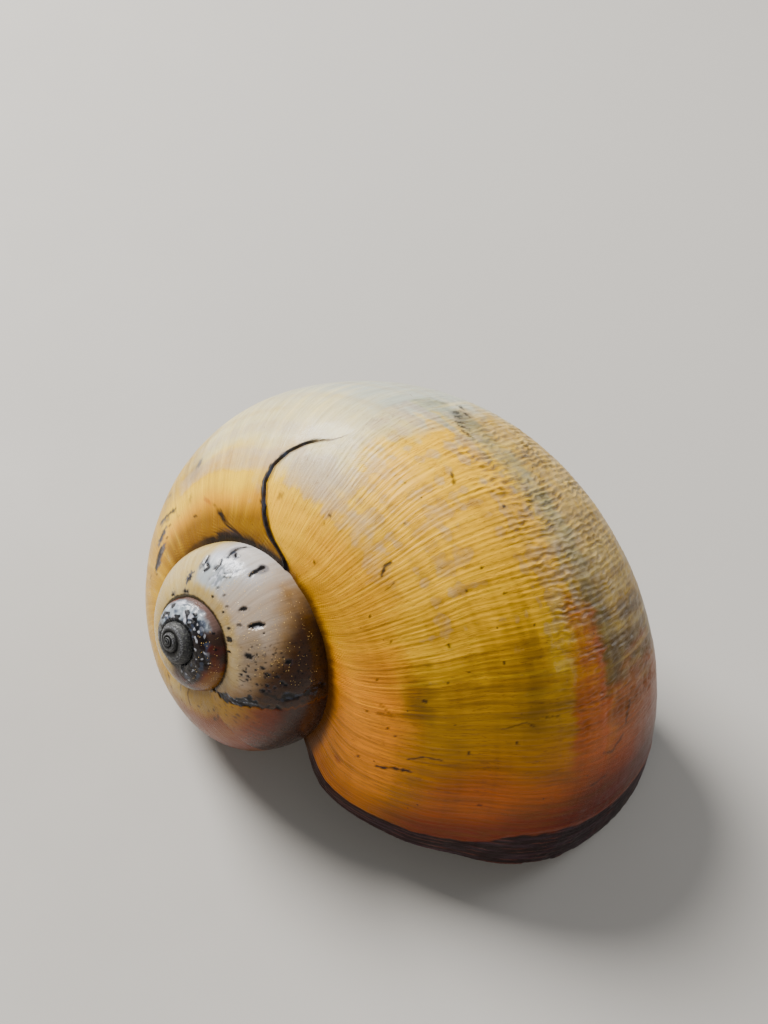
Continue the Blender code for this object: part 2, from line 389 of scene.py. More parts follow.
def older_body_marks(paint, tone):
    dark, slate = tone.black_mark_and_shade, tone.slate
    paint.lay(dark, 0.95 * paint.stroke(((-196.5, 69), (-190, 73), (-182, 77)), 0.45, 0.5, 31))
    paint.lay(slate, 0.6 * paint.stroke(((-194, 73), (-188, 77)), 0.6, 0.6, 32))
    paint.lay(slate, 0.95 * paint.blob(-195.5, 80.5, 0.7, 1.9, 0, 0.35, 0.5, 33))
    paint.lay(dark, 0.8 * paint.blob(-195, 80, 0.45, 1.2, 0, 0.5, 0.7, 30))
    paint.lay(slate, 0.9 * paint.blob(-202, 87.5, 0.8, 2.6, 0, 0.3, 0.4, 49))
    paint.lay(dark, 0.95 * paint.blob(-204, 86.5, 0.65, 1.8, 0, 0.3, 0.5, 50))
    for number, (angle, side, size) in enumerate(
        ((-217, 82, 0.22), (-191, 86, 0.2), (-187, 82, 0.28), (-211, 90, 0.16), (-179, 84, 0.2), (-166, 90, 0.3))
    ):
        paint.lay(dark, 0.85 * paint.blob(angle, side, size, size * 1.3, 0, 0.4, 0.4, 360 + number))
    paint.lay(slate, 0.5 * paint.stroke(((-198, 46), (-193, 53), (-188, 59)), 0.4, 0.4, 35))
    paint.lay(slate, 0.8 * paint.blob(-169, 60, 1.1, 0.8, 0, 0.7, 0.4, 36))
    paint.lay(slate, 0.3 * paint.blob(-171, 64, 2.8, 2.4, 20, 1.0, 0.5, 37))
    paint.lay(slate, 0.45 * paint.blob(-170, 80, 1.0, 0.5, 0, 0.8, 0.4, 38))
    paint.lay(dark, 0.97 * paint.stroke(((-149, 92), (-146, 94.5), (-141, 98), (-133, 101)), 0.42, 0.7, 40))
    paint.lay(dark, 0.5 * paint.stroke(((-153, 88), (-148, 93)), 0.22, 0.6, 41))
    paint.lay(dark, 0.97 * paint.stroke(((-149, 100.6), (-144, 101.2), (-136, 101.5), (-128, 102.2)), 0.5, 1.1, 48))
    paint.lay(slate, 0.5 * paint.stroke(((-143, 99.5), (-136, 100.5)), 0.4, 1.0, 42))
    paint.lay(tone.red_brown, 0.5 * paint.stroke(((-160, 84), (-155, 88)), 0.3, 0.5, 43))
    paint.lay(tone.umber, 0.75 * paint.stroke(((-304, 101), (-303.5, 95), (-307, 87)), 0.24, 0.6, 44))
    paint.lay(slate, 0.5 * paint.stroke(((-292, 100), (-294, 93)), 0.3, 0.6, 45))
    for number, (angle, side, long, wide) in enumerate(
        (
            (-342.5, 88, 0.35, 0.4), (-340, 90, 0.3, 0.3), (-337, 88, 0.25, 0.3), (-344, 84, 0.6, 0.2),
            (-338, 82, 0.7, 0.2), (-333, 80, 0.6, 0.35), (-341, 78, 0.5, 0.2), (-330, 88, 0.3, 0.2),
            (-318, 90, 0.4, 0.2), (-277, 90, 0.6, 0.3), (-283, 84, 0.4, 0.25), (-296, 84, 0.3, 0.2),
        )
    ):
        paint.lay(tone.umber, 0.9 * paint.blob(angle, side, long, wide, 12 * number, 0.4, 0.6, 344 + number))


def paint_older(angle, side, tone):
    """From the start of the last whorl to the old broken lip."""
    paint = Paint(angle, side)
    age, s, v = paint.age, paint.s, paint.v
    broad = noise(s / 9, v / 7, 51)
    patchy = noise(s / 2.5, v / 3.5, 55)
    paint.fill(tone.straw)
    paint.lay(tone.cream, (1 - smooth(52, 74, side + 6 * broad)) * smooth(-190, -165, age))
    paint.lay(tone.pale_grey, smooth(-170, -136, age) * (1 - smooth(10, 40, side + 4 * broad)))
    paint.lay(tone.olive_grey, 0.55 * band(-196, -176, 10, age + 4 * patchy) * (1 - smooth(60, 76, side)))
    paint.lay(tone.tan, 0.85 * band(-285, -208, 16, age))
    paint.lay(tone.golden, smooth(78, 88, side + 3 * broad) * smooth(-225, -190, age))
    # Partly the shoulder's own gold, partly painted shade: its slope down into the suture is laid in deep gold.
    paint.lay(tone.deep_gold, 0.9 * smooth(84, 95, side + 2 * broad) * smooth(-225, -200, age))
    paint.lay(tone.lavender, 0.6 * band(64, 71, 4, side + 2 * broad) * band(-178, -128, 12, age))
    paint.lay(tone.lavender, 0.3 * band(48, 52, 3, side + 2 * broad) * band(-168, -124, 12, age))
    paint.lay(tone.parchment, 1 - smooth(-300, -272, age + 6 * broad))
    paint.lay(tone.tan, 0.6 * (1 - smooth(-330, -290, age + 6 * broad)))
    paint.lay(tone.orange_brown, (1 - smooth(-312, -276, age + 6 * broad)) * (1 - smooth(76, 90, side + 4 * patchy)))
    paint.lay(tone.rust, 0.97 * (1 - smooth(-322, -262, age)) * (1 - smooth(46, 84, side)))
    # Painted shadow: the low side of the last whorl's start is darkened to plum black, as in the shade beneath the
    # shell.
    paint.lay(tone.plum_black, 0.95 * (1 - smooth(-348, -285, age)) * (1 - smooth(0, 56, side)))
    paint.lay(tone.olive_grey, 0.5 * (1 - smooth(-40, 10, side)) * band(-200, -156, 30, age))
    streak = noise(s / 1.6, v / 14, 52) + 0.6 * noise(s / 0.6, v / 9, 53)
    spiral = noise(v / 1.8, s / 24, 56)
    paint.lay(tone.chalk_and_highlight, 0.22 * np.clip(streak, 0, 1) * smooth(-300, -250, age))
    paint.lay(tone.deep_gold, 0.22 * np.clip(-streak, 0, 1))
    paint.lay(tone.tan, 0.25 * np.clip(spiral, 0, 1))
    older_body_marks(paint, tone)
    # Painted shade: umber and black in the suture, where the next whorl meets this one.
    paint.lay(tone.umber, 0.35 * smooth(97, 101, side + 1.2 * patchy))
    paint.lay(tone.black_mark_and_shade, 0.95 * smooth(100.6, 102.0, side + 1.0 * patchy) * smooth(-215, -160, age))
    shown = scar_show(side)
    back = (scar_angle(side) - angle) * math.radians(1) * coil_size(angle) * SHELL_RADIUS / MM
    back = back * np.clip(outline(side)[0], 0.3, 1)
    edge = 0.62 + 0.22 * noise(side / 5, side * 0, 54)
    paint.lay(tone.lavender, 0.35 * shown * (1 - smooth(0.8, 4.5, back)) * (1 - smooth(84, 92, side)))
    crack = shown * (1 - smooth(edge - 0.05, edge + 0.1, back + 0.25 * noise(s / 0.5, v / 0.9, 57)))
    paint.lay(tone.black_mark_and_shade, 0.96 * crack)
    # Painted glints: slate specks over the black crack of the scar stand for light caught on its flaked edge.
    paint.lay(tone.slate, 0.85 * crack * smooth(0.0, 0.45, noise(s / 0.7, v / 1.6, 58)))
    near_suture = smooth(80, 96, side)
    paint.lay(tone.black_mark_and_shade, 0.9 * shown * near_suture * (1 - smooth(0.5, 0.9, back)))
    return paint


def body_marks(paint, tone):
    dark = tone.black_mark_and_shade
    for number, (points, wide, amount) in enumerate(
        (
            (((-94.5, 27), (-92, 29)), 0.32, 0.8),
            (((-80, 68.5), (-79.4, 71), (-77.6, 73.4)), 0.32, 0.9),
            (((-21, 73), (-18.5, 79), (-15.5, 83.5)), 0.3, 0.95),
            (((-28, 63.5), (-27, 69.5), (-24, 74.5)), 0.17, 0.8),
            (((-37, 84.5), (-35, 81), (-33.5, 86)), 0.28, 0.5),
            (((-40, 31), (-41, 35), (-39, 44)), 0.14, 0.6),
            (((-42, 21), (-42, 27)), 0.16, 0.6),
            (((-41, -19), (-37, -16)), 0.35, 0.75),
            (((-35, -15), (-32, -8), (-32.5, -3)), 0.3, 0.6),
            (((-27, -6), (-26, 2)), 0.25, 0.5),
            (((-74.4, 70.4), (-73, 74)), 0.16, 0.7),
        )
    ):
        paint.lay(dark, amount * paint.stroke(points, wide, 0.6, 61 + number))
    paint.lay(tone.rust, 0.6 * paint.blob(-4.5, 94.5, 1.0, 0.6, 0, 0.8, 0.5, 73))
    paint.lay(tone.slate, 0.5 * paint.blob(-120, 81, 0.7, 0.5, 0, 0.6, 0.3, 74))
    paint.lay(tone.slate, 0.35 * paint.blob(-126, 36, 1.1, 0.5, 20, 0.8, 0.6, 75))
    for number, (angle, side, size) in enumerate(
        (
            (-42.3, 70.4, 0.32), (-36.5, 38, 0.26), (-32, 55, 0.3), (-30.5, 82.5, 0.24), (-29, 79.5, 0.2),
            (-57, 59.5, 0.34), (-53, 41, 0.26), (-84, 16, 0.3), (-20.5, 47.5, 0.26), (-101, 76, 0.28),
            (-100, 80, 0.18), (-73, 38, 0.2), (-69, 47, 0.2), (-58, 79, 0.2), (-66, 83, 0.2), (-14, 89.5, 0.3),
            (-32.5, 89, 0.24), (-97, 45, 0.2), (-88, 56, 0.17), (-75, 52, 0.17), (-67, 33.5, 0.2), (-90.5, 92, 0.26),
            (-48, 62, 0.16), (-62, 66, 0.16), (-45, 86, 0.18), (-51, 54, 0.14), (-38, 60, 0.14), (-60, 26, 0.16),
        )
    ):
        paint.lay(dark, 0.85 * paint.blob(angle, side, size * 1.2, size, 15 * number, 0.4, 0.4, 80 + number))
    paint.lay(tone.slate, 0.55 * paint.blob(-108, -9, 3.4, 2.4, 0, 0.9, 0.6, 106))
    for number, spot in enumerate(((-110, -8), (-108.4, -5), (-106.4, -2), (-105, 0), (-103, 2.5), (-109, -12), (-112, -16))):
        paint.lay(dark, 0.85 * paint.blob(*spot, 0.9, 0.4, -20 + 25 * number, 0.6, 0.9, 240 + number))


def paint_body(angle, side, tone):
    """From the old broken lip to the mouth."""
    paint = Paint(angle, side)
    age, s, v = paint.age, paint.s, paint.v
    broad = noise(s / 8, v / 10, 111)
    patchy = noise(s / 2.6, v / 5, 112)
    ragged = noise(s / 0.9, v / 2.2, 118)
    near = age + 5 * patchy + 1.5 * ragged
    across = side + 3 * patchy + 1.5 * ragged
    paint.fill(tone.mustard)
    paint.lay(tone.straw, 0.9 * (1 - smooth(-112, -84, age + 8 * broad)) * (1 - smooth(74, 84, side)))
    paint.lay(tone.cream, (1 - smooth(-122, -98, age + 6 * broad)) * band(30, 64, 14, side))
    paint.lay(tone.pale_grey, (1 - smooth(-118, -78, near)) * (1 - smooth(10, 40, side)))
    paint.lay(tone.golden, smooth(66, 86, side + 5 * broad) * smooth(-118, -100, age))
    paint.lay(tone.amber, 0.6 * band(-98, -66, 9, near) * band(10, 54, 12, side))
    paint.lay(tone.olive, 0.9 * smooth(-64, -48, near) * band(10, 84, 9, side))
    paint.lay(tone.deep_orange, smooth(68, 84, side + 3 * patchy) * smooth(-74, -44, age))
    paint.lay(tone.beige, band(-104, -64, 9, near) * (1 - smooth(-8, 4, across)))
    paint.lay(tone.olive_grey, smooth(-68, -54, near) * (1 - smooth(-12, 2, across)))
    paint.lay(tone.sage, (0.5 + 0.3 * patchy) * band(-8, 4, 5, across) * band(-124, -58, 9, near))
    paint.lay(tone.slate, 0.22 * band(-9, 2, 4, across) * band(-122, -66, 9, near) * np.clip(2 * ragged + patchy, 0, 1))
    paint.lay(tone.dark_olive, 0.55 * band(-66, -44, 8, near) * band(-14, -3, 5, across))
    paint.lay(tone.dark_olive, 0.5 * band(-52, -43, 5, near) * band(70, 74, 5, across))
    paint.lay(tone.dark_olive, 0.25 * band(-62, -44, 7, near) * band(27, 32, 4, across))
    paint.lay(tone.brick, 0.8 * band(-56, -32, 9, near) * band(-3, 11, 5, across))
    # Painted highlight: a pale streak on the last whorl near the red flush.
    paint.lay(tone.chalk_and_highlight, 0.4 * band(-62, -52, 6, near) * band(14, 20, 5, across))
    paint.lay(tone.ochre_brown, 0.95 * smooth(-42, -24, age + 4 * broad) * (1 - 0.85 * smooth(58, 84, side)))
    paint.lay(tone.brick, 0.45 * band(-42, -30, 8, near) * (1 - smooth(-6, 20, side)))
    to_lip = LIP_AT_ZERO - age
    dark_from = 8.8 - 3.9 * smooth(26, 50, side)
    paint.lay(tone.rust, (1 - smooth(dark_from + 2.0, dark_from + 11, to_lip)) * (1 - 0.5 * smooth(60, 84, side)))
    paint.lay(tone.plum, 0.9 * (1 - smooth(dark_from + 6, dark_from + 19, to_lip)) * (1 - smooth(0, 26, side)))
    paint.lay(tone.grey_plum, 0.7 * (1 - smooth(-38, -10, side)) * smooth(-52, -28, age))
    streak = noise(s / 1.5, v / 14, 113) + 0.6 * noise(s / 0.55, v / 8, 114)
    newer = smooth(-112, -80, age)
    paint.lay(tone.chalk_and_highlight, 0.26 * np.clip(streak, 0, 1) * (1 - smooth(-52, -34, age)))
    paint.lay(tone.dark_olive, 0.36 * np.clip(-streak, 0, 1) * newer)
    thin = np.clip(3 * np.abs(noise(s / 0.9, v / 11, 98)), 0, 1)
    paint.lay(tone.deep_gold, 0.3 * (1 - thin) * newer * smooth(-10, 20, side))
    spiral = noise(v / 1.7, s / 26, 119) + 0.5 * noise(v / 0.7, s / 12, 120)
    blocks = noise(s / 1.8, v / 9, 127) + noise(v / 1.5, s / 16, 128)
    paint.lay(tone.lavender, 0.45 * smooth(0.0, 0.45, blocks) * band(-112, -66, 12, near) * band(2, 66, 10, side))
    paint.lay(tone.amber, 0.45 * smooth(0.0, 0.45, -blocks) * band(-104, -60, 12, near) * band(6, 70, 10, side))
    paint.lay(tone.dark_olive, 0.16 * np.clip(spiral, 0, 1))
    paint.lay(tone.chalk_and_highlight, 0.12 * np.clip(-spiral, 0, 1) * (1 - smooth(-60, -34, age)))
    paint.lay(tone.lavender, 0.6 * band(-128, -112, 6, near) * band(60, 75, 5, across))
    paint.lay(tone.lavender, 0.4 * band(70, 76, 3, across) * band(-114, -84, 9, near))
    cover = 1 - smooth(dark_from - 0.25, dark_from + 0.3, to_lip + 0.5 * noise(s * 0.4, v / 2.5, 115))
    # Painted highlight: a pale line along the ridge before the dark lip.
    paint.lay(tone.lip_ridge_highlight, 0.8 * np.exp(-(((to_lip - dark_from - 0.55) / 0.35) ** 2)) * (1 - smooth(34, 48, side)))
    paint.lay(tone.lip_dark, 0.97 * cover)
    paint.lay(tone.lip_grey, 0.6 * cover * np.clip(1.6 * noise(s / 0.5, v / 7, 116) + 0.3 * patchy, 0, 1))
    layer = s / 0.9 + 0.3 * noise(s / 2, v / 8, 201)
    # Painted highlights: pale lines on the edges of the lip's layers.
    paint.lay(tone.lip_ridge_highlight, 0.7 * cover * np.exp(-(((layer - np.round(layer)) / 0.1) ** 2)) * smooth(-0.3, 0.3, noise(s / 2, v / 4, 129)))
    body_marks(paint, tone)
    # Painted shade: umber in the suture, where the last whorl meets the one before.
    paint.lay(tone.umber, 0.9 * smooth(99.5, 103, side + 0.8 * patchy))
    past = (angle - scar_angle(side)) * math.radians(1) * coil_size(angle) * SHELL_RADIUS / MM
    past = past * np.clip(outline(side)[0], 0.3, 1)
    shown = scar_show(side)
    paint.lay(tone.umber, 0.8 * shown * np.exp(-(((past - 0.18) / 0.16) ** 2)))
    paint.lay(tone.black_mark_and_shade, 0.9 * shown * smooth(82, 95, side) * (1 - smooth(0.25, 0.7, past)))
    # Painted shade: the troughs of the wrinkles are darkened with dark olive.
    fold_shade = np.clip(-wrinkles(age, side, s, v) / 0.16, 0, 1) * band(-34, 14, 16, side) * band(-100, -40, 14, age)
    paint.lay(tone.dark_olive, 0.5 * fold_shade)
    crack = ((-124.6, 55), (-121.5, 51.5), (-119, 49.5), (-117.6, 46), (-117.8, 41))
    paint.lay(tone.umber, 0.8 * paint.stroke(crack, 0.24, 0.5, 117))
    return paint


def penultimate_marks(paint, tone):
    dark, slate = tone.black_mark_and_shade, tone.slate
    for number, (points, wide) in enumerate(
        (
            (((-495.6, 61), (-495.5, 53), (-496, 46)), 0.34),
            (((-492, 60), (-488.5, 63), (-490.5, 69)), 0.36),
            (((-483, 60), (-482.5, 53), (-484, 47)), 0.36),
            (((-482.5, 36), (-483.5, 26), (-484.5, 12), (-483.5, 3)), 0.42),
            (((-478, 30), (-481, 26)), 0.3),
            (((-461, 38), (-461.6, 28), (-462.5, 18)), 0.5),
            (((-507, 99), (-502, 99.5)), 0.3),
            (((-532, 98), (-528, 99)), 0.24),
        )
    ):
        stroke = paint.stroke(points, wide, 0.6, 121 + number)
        paint.lay(slate, 0.6 * paint.stroke(points, 1.9 * wide, 0.9, 321 + number))
        paint.lay(dark, stroke)
        paint.dent -= 0.06 * stroke
    for number, (angle, side, long, wide, tilt) in enumerate(
        (
            (-443, 69.5, 0.62, 0.36, 0), (-432, 81, 0.4, 0.3, 0), (-468.5, 78.5, 0.28, 0.25, 0),
            (-459.5, 79, 0.25, 0.22, 0), (-450, 84, 0.25, 0.2, 0), (-447.5, 91, 0.25, 0.18, 0),
            (-466.5, 90, 0.25, 0.22, 20), (-431, 93.5, 0.3, 0.24, 0), (-420, 97.3, 0.6, 0.45, 0),
            (-407, 99.5, 0.35, 0.2, 0), (-408, 78.5, 0.6, 0.5, 0), (-407, 37.5, 0.5, 0.42, 0),
            (-401.5, 65, 0.34, 0.24, 0), (-398, 60.5, 0.42, 0.34, 0), (-395, 45, 0.36, 0.3, 0),
            (-394, 41, 0.26, 0.22, 0), (-398, 49, 0.22, 0.18, 0), (-391, 60, 0.26, 0.22, 0),
            (-391, 52, 0.24, 0.2, 0), (-389, 70, 0.26, 0.22, 0), (-387, 63, 0.3, 0.2, 0), (-388, 57, 0.24, 0.2, 0),
            (-395, 83, 0.3, 0.22, 20), (-392, 79, 0.26, 0.2, 0), (-391, 86, 0.3, 0.2, 0), (-389, 80, 0.24, 0.2, 0),
            (-410, 70, 0.14, 0.14, 0), (-410, 62, 0.14, 0.12, 0), (-415, 74, 0.14, 0.12, 0), (-404, 56, 0.14, 0.12, 0),
            (-399, 72, 0.16, 0.14, 0), (-412, 50, 0.14, 0.12, 0), (-400, 79, 0.14, 0.12, 0), (-424, 58, 0.12, 0.12, 0),
        )
    ):
        pit = paint.blob(angle, side, long, wide, tilt, 0.25, 0.3, 131 + number)
        rim = paint.blob(angle, side, long * 1.6, wide * 1.6, tilt, 0.5, 0.3, 131 + number)
        paint.lay(slate, 0.4 * (rim - pit))
        paint.lay(dark, (0.97 if number not in (1, 2, 3, 4) else 0.6) * pit)
        paint.dent += 0.03 * (rim - pit) - 0.09 * pit
    paint.lay(slate, 0.9 * paint.blob(-504, 80.5, 1.0, 0.7, 20, 0.5, 0.9, 150))
    paint.lay(dark, 0.8 * paint.blob(-503, 82, 0.6, 0.35, 20, 0.5, 0.9, 149))
    worn = paint.blob(-474, 57, 2.5, 1.2, 8, 0.4, 0.9, 156)
    paint.lay(slate, 0.5 * worn)
    flaked = smooth(-0.05, 0.25, noise(paint.s / 0.6, paint.v / 0.9, 157))
    paint.lay(tone.worn_white_and_highlight, 0.8 * worn * flaked)
    outlined = paint.stroke(((-474, 50), (-469, 54), (-468, 60), (-472, 64), (-474, 58), (-474, 50)), 0.15, 0.9, 155)
    paint.lay(dark, 0.8 * outlined)
    hollow = paint.blob(-429.5, 63.5, 1.25, 0.55, 3, 0.25, 0.15, 158)
    paint.lay(dark, hollow)
    paint.lay(tone.worn_white_and_highlight, 0.95 * paint.blob(-428.3, 63, 0.75, 0.15, 3, 0.4, 0.2, 159))
    crust = paint.stroke(((-385.5, 42), (-387.5, 34), (-388.5, 26), (-391, 14), (-392.5, -4)), 0.85, 0.9, 162)
    thin = paint.stroke(((-386, 66), (-385.5, 56), (-384.5, 46)), 0.3, 1.2, 164)
    paint.lay(dark, np.maximum(crust, 0.8 * thin))
    # Painted glints: slate specks over the black crust stand for light caught on it.
    paint.lay(slate, 0.8 * crust * smooth(0.1, 0.4, noise(paint.s / 0.6, paint.v / 1.1, 163)))
    paint.dent -= 0.3 * hollow + 0.05 * worn + 0.1 * crust


BREAK_LINE = (
    (-345, 104), (-349, 101.5), (-352.5, 97), (-357, 90), (-363.5, 81), (-368, 74), (-372, 67), (-376, 55),
    (-379.5, 40), (-383, 20), (-386, 0),
)


def paint_penultimate(angle, side, tone):
    """The whorl before the last, down to a healed break where the last one starts."""
    paint = Paint(angle, side)
    s, v = paint.s, paint.v
    broad = noise(s / 5, v / 5, 171)
    fine = noise(s / 1.2, v / 2.2, 172)
    at = angle + 6 * broad + 2.5 * fine
    paint.fill(tone.bone)
    paint.lay(tone.parchment, 0.8 * (1 - smooth(-560, -522, at)))
    paint.lay(tone.blue_grey, 0.85 * band(-488, -454, 16, at) * band(40, 78, 16, side + 4 * fine))
    # Partly worn white, partly painted highlight: the whitest stretch is where the light glances off the second whorl.
    paint.lay(tone.worn_white_and_highlight, 0.7 * band(-490, -456, 12, at) * (1 - smooth(38, 62, side + 4 * fine)))
    paint.lay(tone.blush, smooth(-476, -446, at))
    paint.lay(tone.parchment, 0.75 * smooth(82, 92, side + 2 * fine) * smooth(-520, -490, at))
    paint.lay(tone.olive_grey, 0.5 * band(-418, -392, 10, at) * band(66, 84, 8, side + 3 * fine))
    # Partly the brown of the younger shell, partly painted shade: taupe, umber and plum black darken the side turned
    # from the light, in the last whorl's shadow.
    shade = at + 434 - 0.8 * np.clip(side - 20, -6, 90) - 0.5 * np.clip(side - 60, 0, 40)
    paint.lay(tone.taupe, 0.9 * smooth(-22, 4, shade))
    paint.lay(tone.umber, smooth(-6, 16, shade))
    paint.lay(tone.plum_black, 0.95 * smooth(8, 26, shade))
    # Painted shade: umber along the second whorl's low edge, where the last whorl overhangs it.
    edge = (1 - smooth(-16, 2, side + 3 * fine)) * smooth(-424, -406, at)
    paint.lay(tone.umber, 0.85 * edge)
    paint.lay(tone.deep_gold, 0.2 * np.clip(noise(s / 1.0, v / 7, 178), 0, 1))
    paint.lay(tone.umber, 0.12 * np.clip(noise(s / 0.6, v / 9, 179), 0, 1))
    sides, angles = np.array([(b, a) for a, b in BREAK_LINE][::-1], float).T
    line = np.interp(side, sides, angles) + 1.2 * noise(side / 4, side * 0, 173)
    past = angle - line
    younger = smooth(-0.5, 1.5, past)
    paint.lay(tone.tan, younger)
    paint.lay(tone.orange_brown, 0.9 * younger * (1 - smooth(56, 92, side + 4 * fine)))
    paint.lay(tone.rust, 0.97 * younger * (1 - smooth(40, 78, side + 4 * fine)))
    # Painted shade: plum black on the low side below the break, where it lies in shade.
    paint.lay(tone.plum_black, 0.97 * younger * (1 - smooth(24, 66, side + 4 * fine)))
    across = 1.0 + 0.35 * noise(side / 6, side * 0, 174)
    wide = (0.8 + 7.0 * band(70, 92, 9, side) + 1.4 * smooth(92, 98, side)) * across
    wound = band(-wide, 0.3, 0.8, past + 2.0 * noise(s / 0.8, v / 0.9, 175)) * smooth(34, 44, side)
    paint.lay(tone.black_mark_and_shade, wound)
    glint = wound * smooth(60, 76, side) * smooth(0.05, 0.4, noise(s / 0.45, v / 1.2, 176))
    paint.lay(tone.slate, 0.8 * glint)
    paint.lay(tone.worn_white_and_highlight, 0.6 * glint * smooth(0.2, 0.6, noise(s / 0.3, v / 0.8, 181)))
    paint.dent -= 0.1 * wound + 0.1 * wound * fine
    speck = smooth(0.48, 0.62, noise(s / 0.42, v / 0.5, 177))
    paint.lay(tone.black_mark_and_shade, 0.9 * speck * band(-412, -384, 10, angle) * (1 - smooth(86, 94, side)))
    dash = smooth(0.42, 0.6, noise(s / 0.5, v / 1.2, 180))
    paint.lay(tone.umber, 0.8 * dash * smooth(-372, -360, angle))
    penultimate_marks(paint, tone)
    # Painted shade: black in the suture, where the next whorl meets this one.
    paint.lay(tone.black_mark_and_shade, 0.9 * smooth(100.6, 102.6, side + 0.8 * fine))
    return paint


def paint_spire(angle, side, tone):
    """Dark whorl whose older half has lost its outer layer."""
    paint = Paint(angle, side)
    s, v = paint.s, paint.v
    fine = noise(s / 1.1, v / 0.6, 181)
    rough = noise(s / 3.0, v / 1.7, 182) + 0.4 * fine
    at = angle + 9 * rough
    paint.fill(tone.plum_black)
    paint.lay(tone.plum, 0.6 * smooth(0, 0.5, noise(s / 3.6, v / 2.6, 183)))
    paint.lay(tone.grey_plum, 0.8 * band(-856, -800, 14, at) * (1 - smooth(36, 60, side)))
    paint.lay(tone.red_brown, 0.35 * band(-748, -700, 12, at) * (1 - smooth(46, 78, side + 6 * rough)))
    paint.lay(tone.tan, 0.3 * band(-734, -704, 8, at) * (1 - smooth(36, 62, side + 6 * rough)))
    eroded = band(-940, -800, 12, at) * smooth(22, 50, side + 14 * rough)
    paint.lay(tone.blue_grey, 0.85 * eroded)
    paint.lay(tone.slate, 0.9 * eroded * smooth(-0.05, 0.3, noise(s / 3.0, v / 1.6, 184)))
    paint.lay(tone.worn_white_and_highlight, 0.85 * eroded * smooth(0.15, 0.35, noise(s / 2.4, v / 1.1, 185)))
    paint.lay(tone.black_mark_and_shade, 0.95 * eroded * smooth(0.25, 0.36, noise(s / 1.8, v / 1.0, 186)))
    scabs = band(-816, -690, 10, at) * smooth(48, 72, side + 10 * rough)
    paint.lay(tone.black_mark_and_shade, 0.92 * scabs)
    # Painted glints: slate and worn white specks on the black scabs stand for light caught on them.
    paint.lay(tone.slate, 0.9 * scabs * smooth(0.2, 0.4, noise(s / 2.0, v / 0.8, 187)))
    paint.lay(tone.worn_white_and_highlight, 0.7 * scabs * smooth(0.48, 0.6, noise(s / 1.4, v / 0.6, 188)))
    for number, spot in enumerate(((-817, 70.5, 0.7, 0.6), (-769, 37.5, 0.34, 0.28), (-789, 34, 0.3, 0.26))):
        paint.lay(tone.black_mark_and_shade, 0.95 * paint.blob(*spot, 0, 0.4, 0.5, 370 + number))
    paint.lay(tone.parchment, 0.85 * smooth(-676, -650, angle))
    grain = noise(s / 0.5, v / 0.3, 189)
    old = 1 - smooth(-925, -905, angle + 8 * fine)
    paint.lay(tone.apex_grey, 0.9 * old)
    paint.lay(tone.pale_grey, 0.2 * old * np.clip(1.5 * grain, 0, 1))
    # Painted shade: black in the suture, where the next whorl meets this one.
    paint.lay(tone.black_mark_and_shade, 0.9 * smooth(99.5, 102.5, side + 1.2 * fine))
    paint.dent -= 0.08 * eroded * (0.5 + fine) + 0.09 * scabs * (0.4 + rough) + 0.04 * old * grain
    return paint


def paint_apex(angle, side, tone):
    """The oldest whorls, eroded to a grey granular surface."""
    paint = Paint(angle, side)
    s, v = paint.s, paint.v
    grain = noise(s / 0.22, v / 0.22, 191)
    paint.fill(tone.apex_grey)
    paint.lay(tone.pale_grey, 0.22 * np.clip(1.5 * grain, 0, 1))
    paint.lay(tone.black_mark_and_shade, 0.6 * np.clip(-2 * noise(s / 0.5, v / 0.4, 192) - 0.3, 0, 1))
    # Painted shade: black in the suture between the oldest whorls.
    paint.lay(tone.black_mark_and_shade, 0.8 * smooth(94, 102, side))
    paint.lay(tone.worn_white_and_highlight, 0.3 * band(74, 84, 8, side) * smooth(-0.2, 0.4, grain))
    paint.dent += 0.05 * grain * coil_size(angle) ** 0.3
    return paint


# ---- meshes ----


def spread(*stops):
    """Sides from first to last, with the given number of steps between each pair of stops."""
    found = []
    for start, steps, end in zip(stops[0::2], stops[1::2], stops[2::2]):
        found.append(np.linspace(start, end, steps, endpoint=False))
    return np.concatenate([*found, [stops[-1]]])


def make_mesh(name, points, faces, corner_normals=None):
    """Mesh object from points and from faces as lists of point numbers."""
    mesh = bpy.data.meshes.new(name)
    mesh.vertices.add(len(points))
    mesh.vertices.foreach_set("co", np.asarray(points, np.float32).ravel())
    counts = np.array([len(face) for face in faces])
    corners = np.concatenate([np.asarray(face) for face in faces])
    mesh.loops.add(len(corners))
    mesh.loops.foreach_set("vertex_index", corners.astype(np.int32))
    mesh.polygons.add(len(faces))
    mesh.polygons.foreach_set("loop_start", np.concatenate([[0], np.cumsum(counts)[:-1]]).astype(np.int32))
    mesh.update(calc_edges=True)
    mesh.validate()
    mesh.shade_smooth()
    if corner_normals is not None:
        mesh.normals_split_custom_set(corner_normals)
    piece = bpy.data.objects.new(name, mesh)
    bpy.context.scene.collection.objects.link(piece)
    return piece


def ring_faces(rows, columns):
    """Quads of a grid whose columns close into a ring."""
    row, column = np.meshgrid(np.arange(rows - 1), np.arange(columns), indexing="ij")
    on = (column + 1) % columns
    quads = np.stack([row * columns + column, row * columns + on, (row + 1) * columns + on, (row + 1) * columns + column], -1)
    return quads.reshape(-1, 4)


def volume(points, faces):
    """Signed volume, above nought where the faces point outward."""
    total = 0.0
    for face in faces:
        a = points[face[0]]
        for b, c in zip(face[1:], face[2:]):
            total += a @ np.cross(points[b], points[c])
    return total / 6


def grid_normals(points, wrap):
    """Normals of a grid of points, out of the right-hand turn of its rows and columns."""
    down = np.gradient(points, axis=0)
    if wrap:
        across = np.roll(points, -1, 1) - np.roll(points, 1, 1)
    else:
        across = np.gradient(points, axis=1)
    normal = np.cross(across, down)
    return normal / np.maximum(np.linalg.norm(normal, axis=-1, keepdims=True), 1e-12)


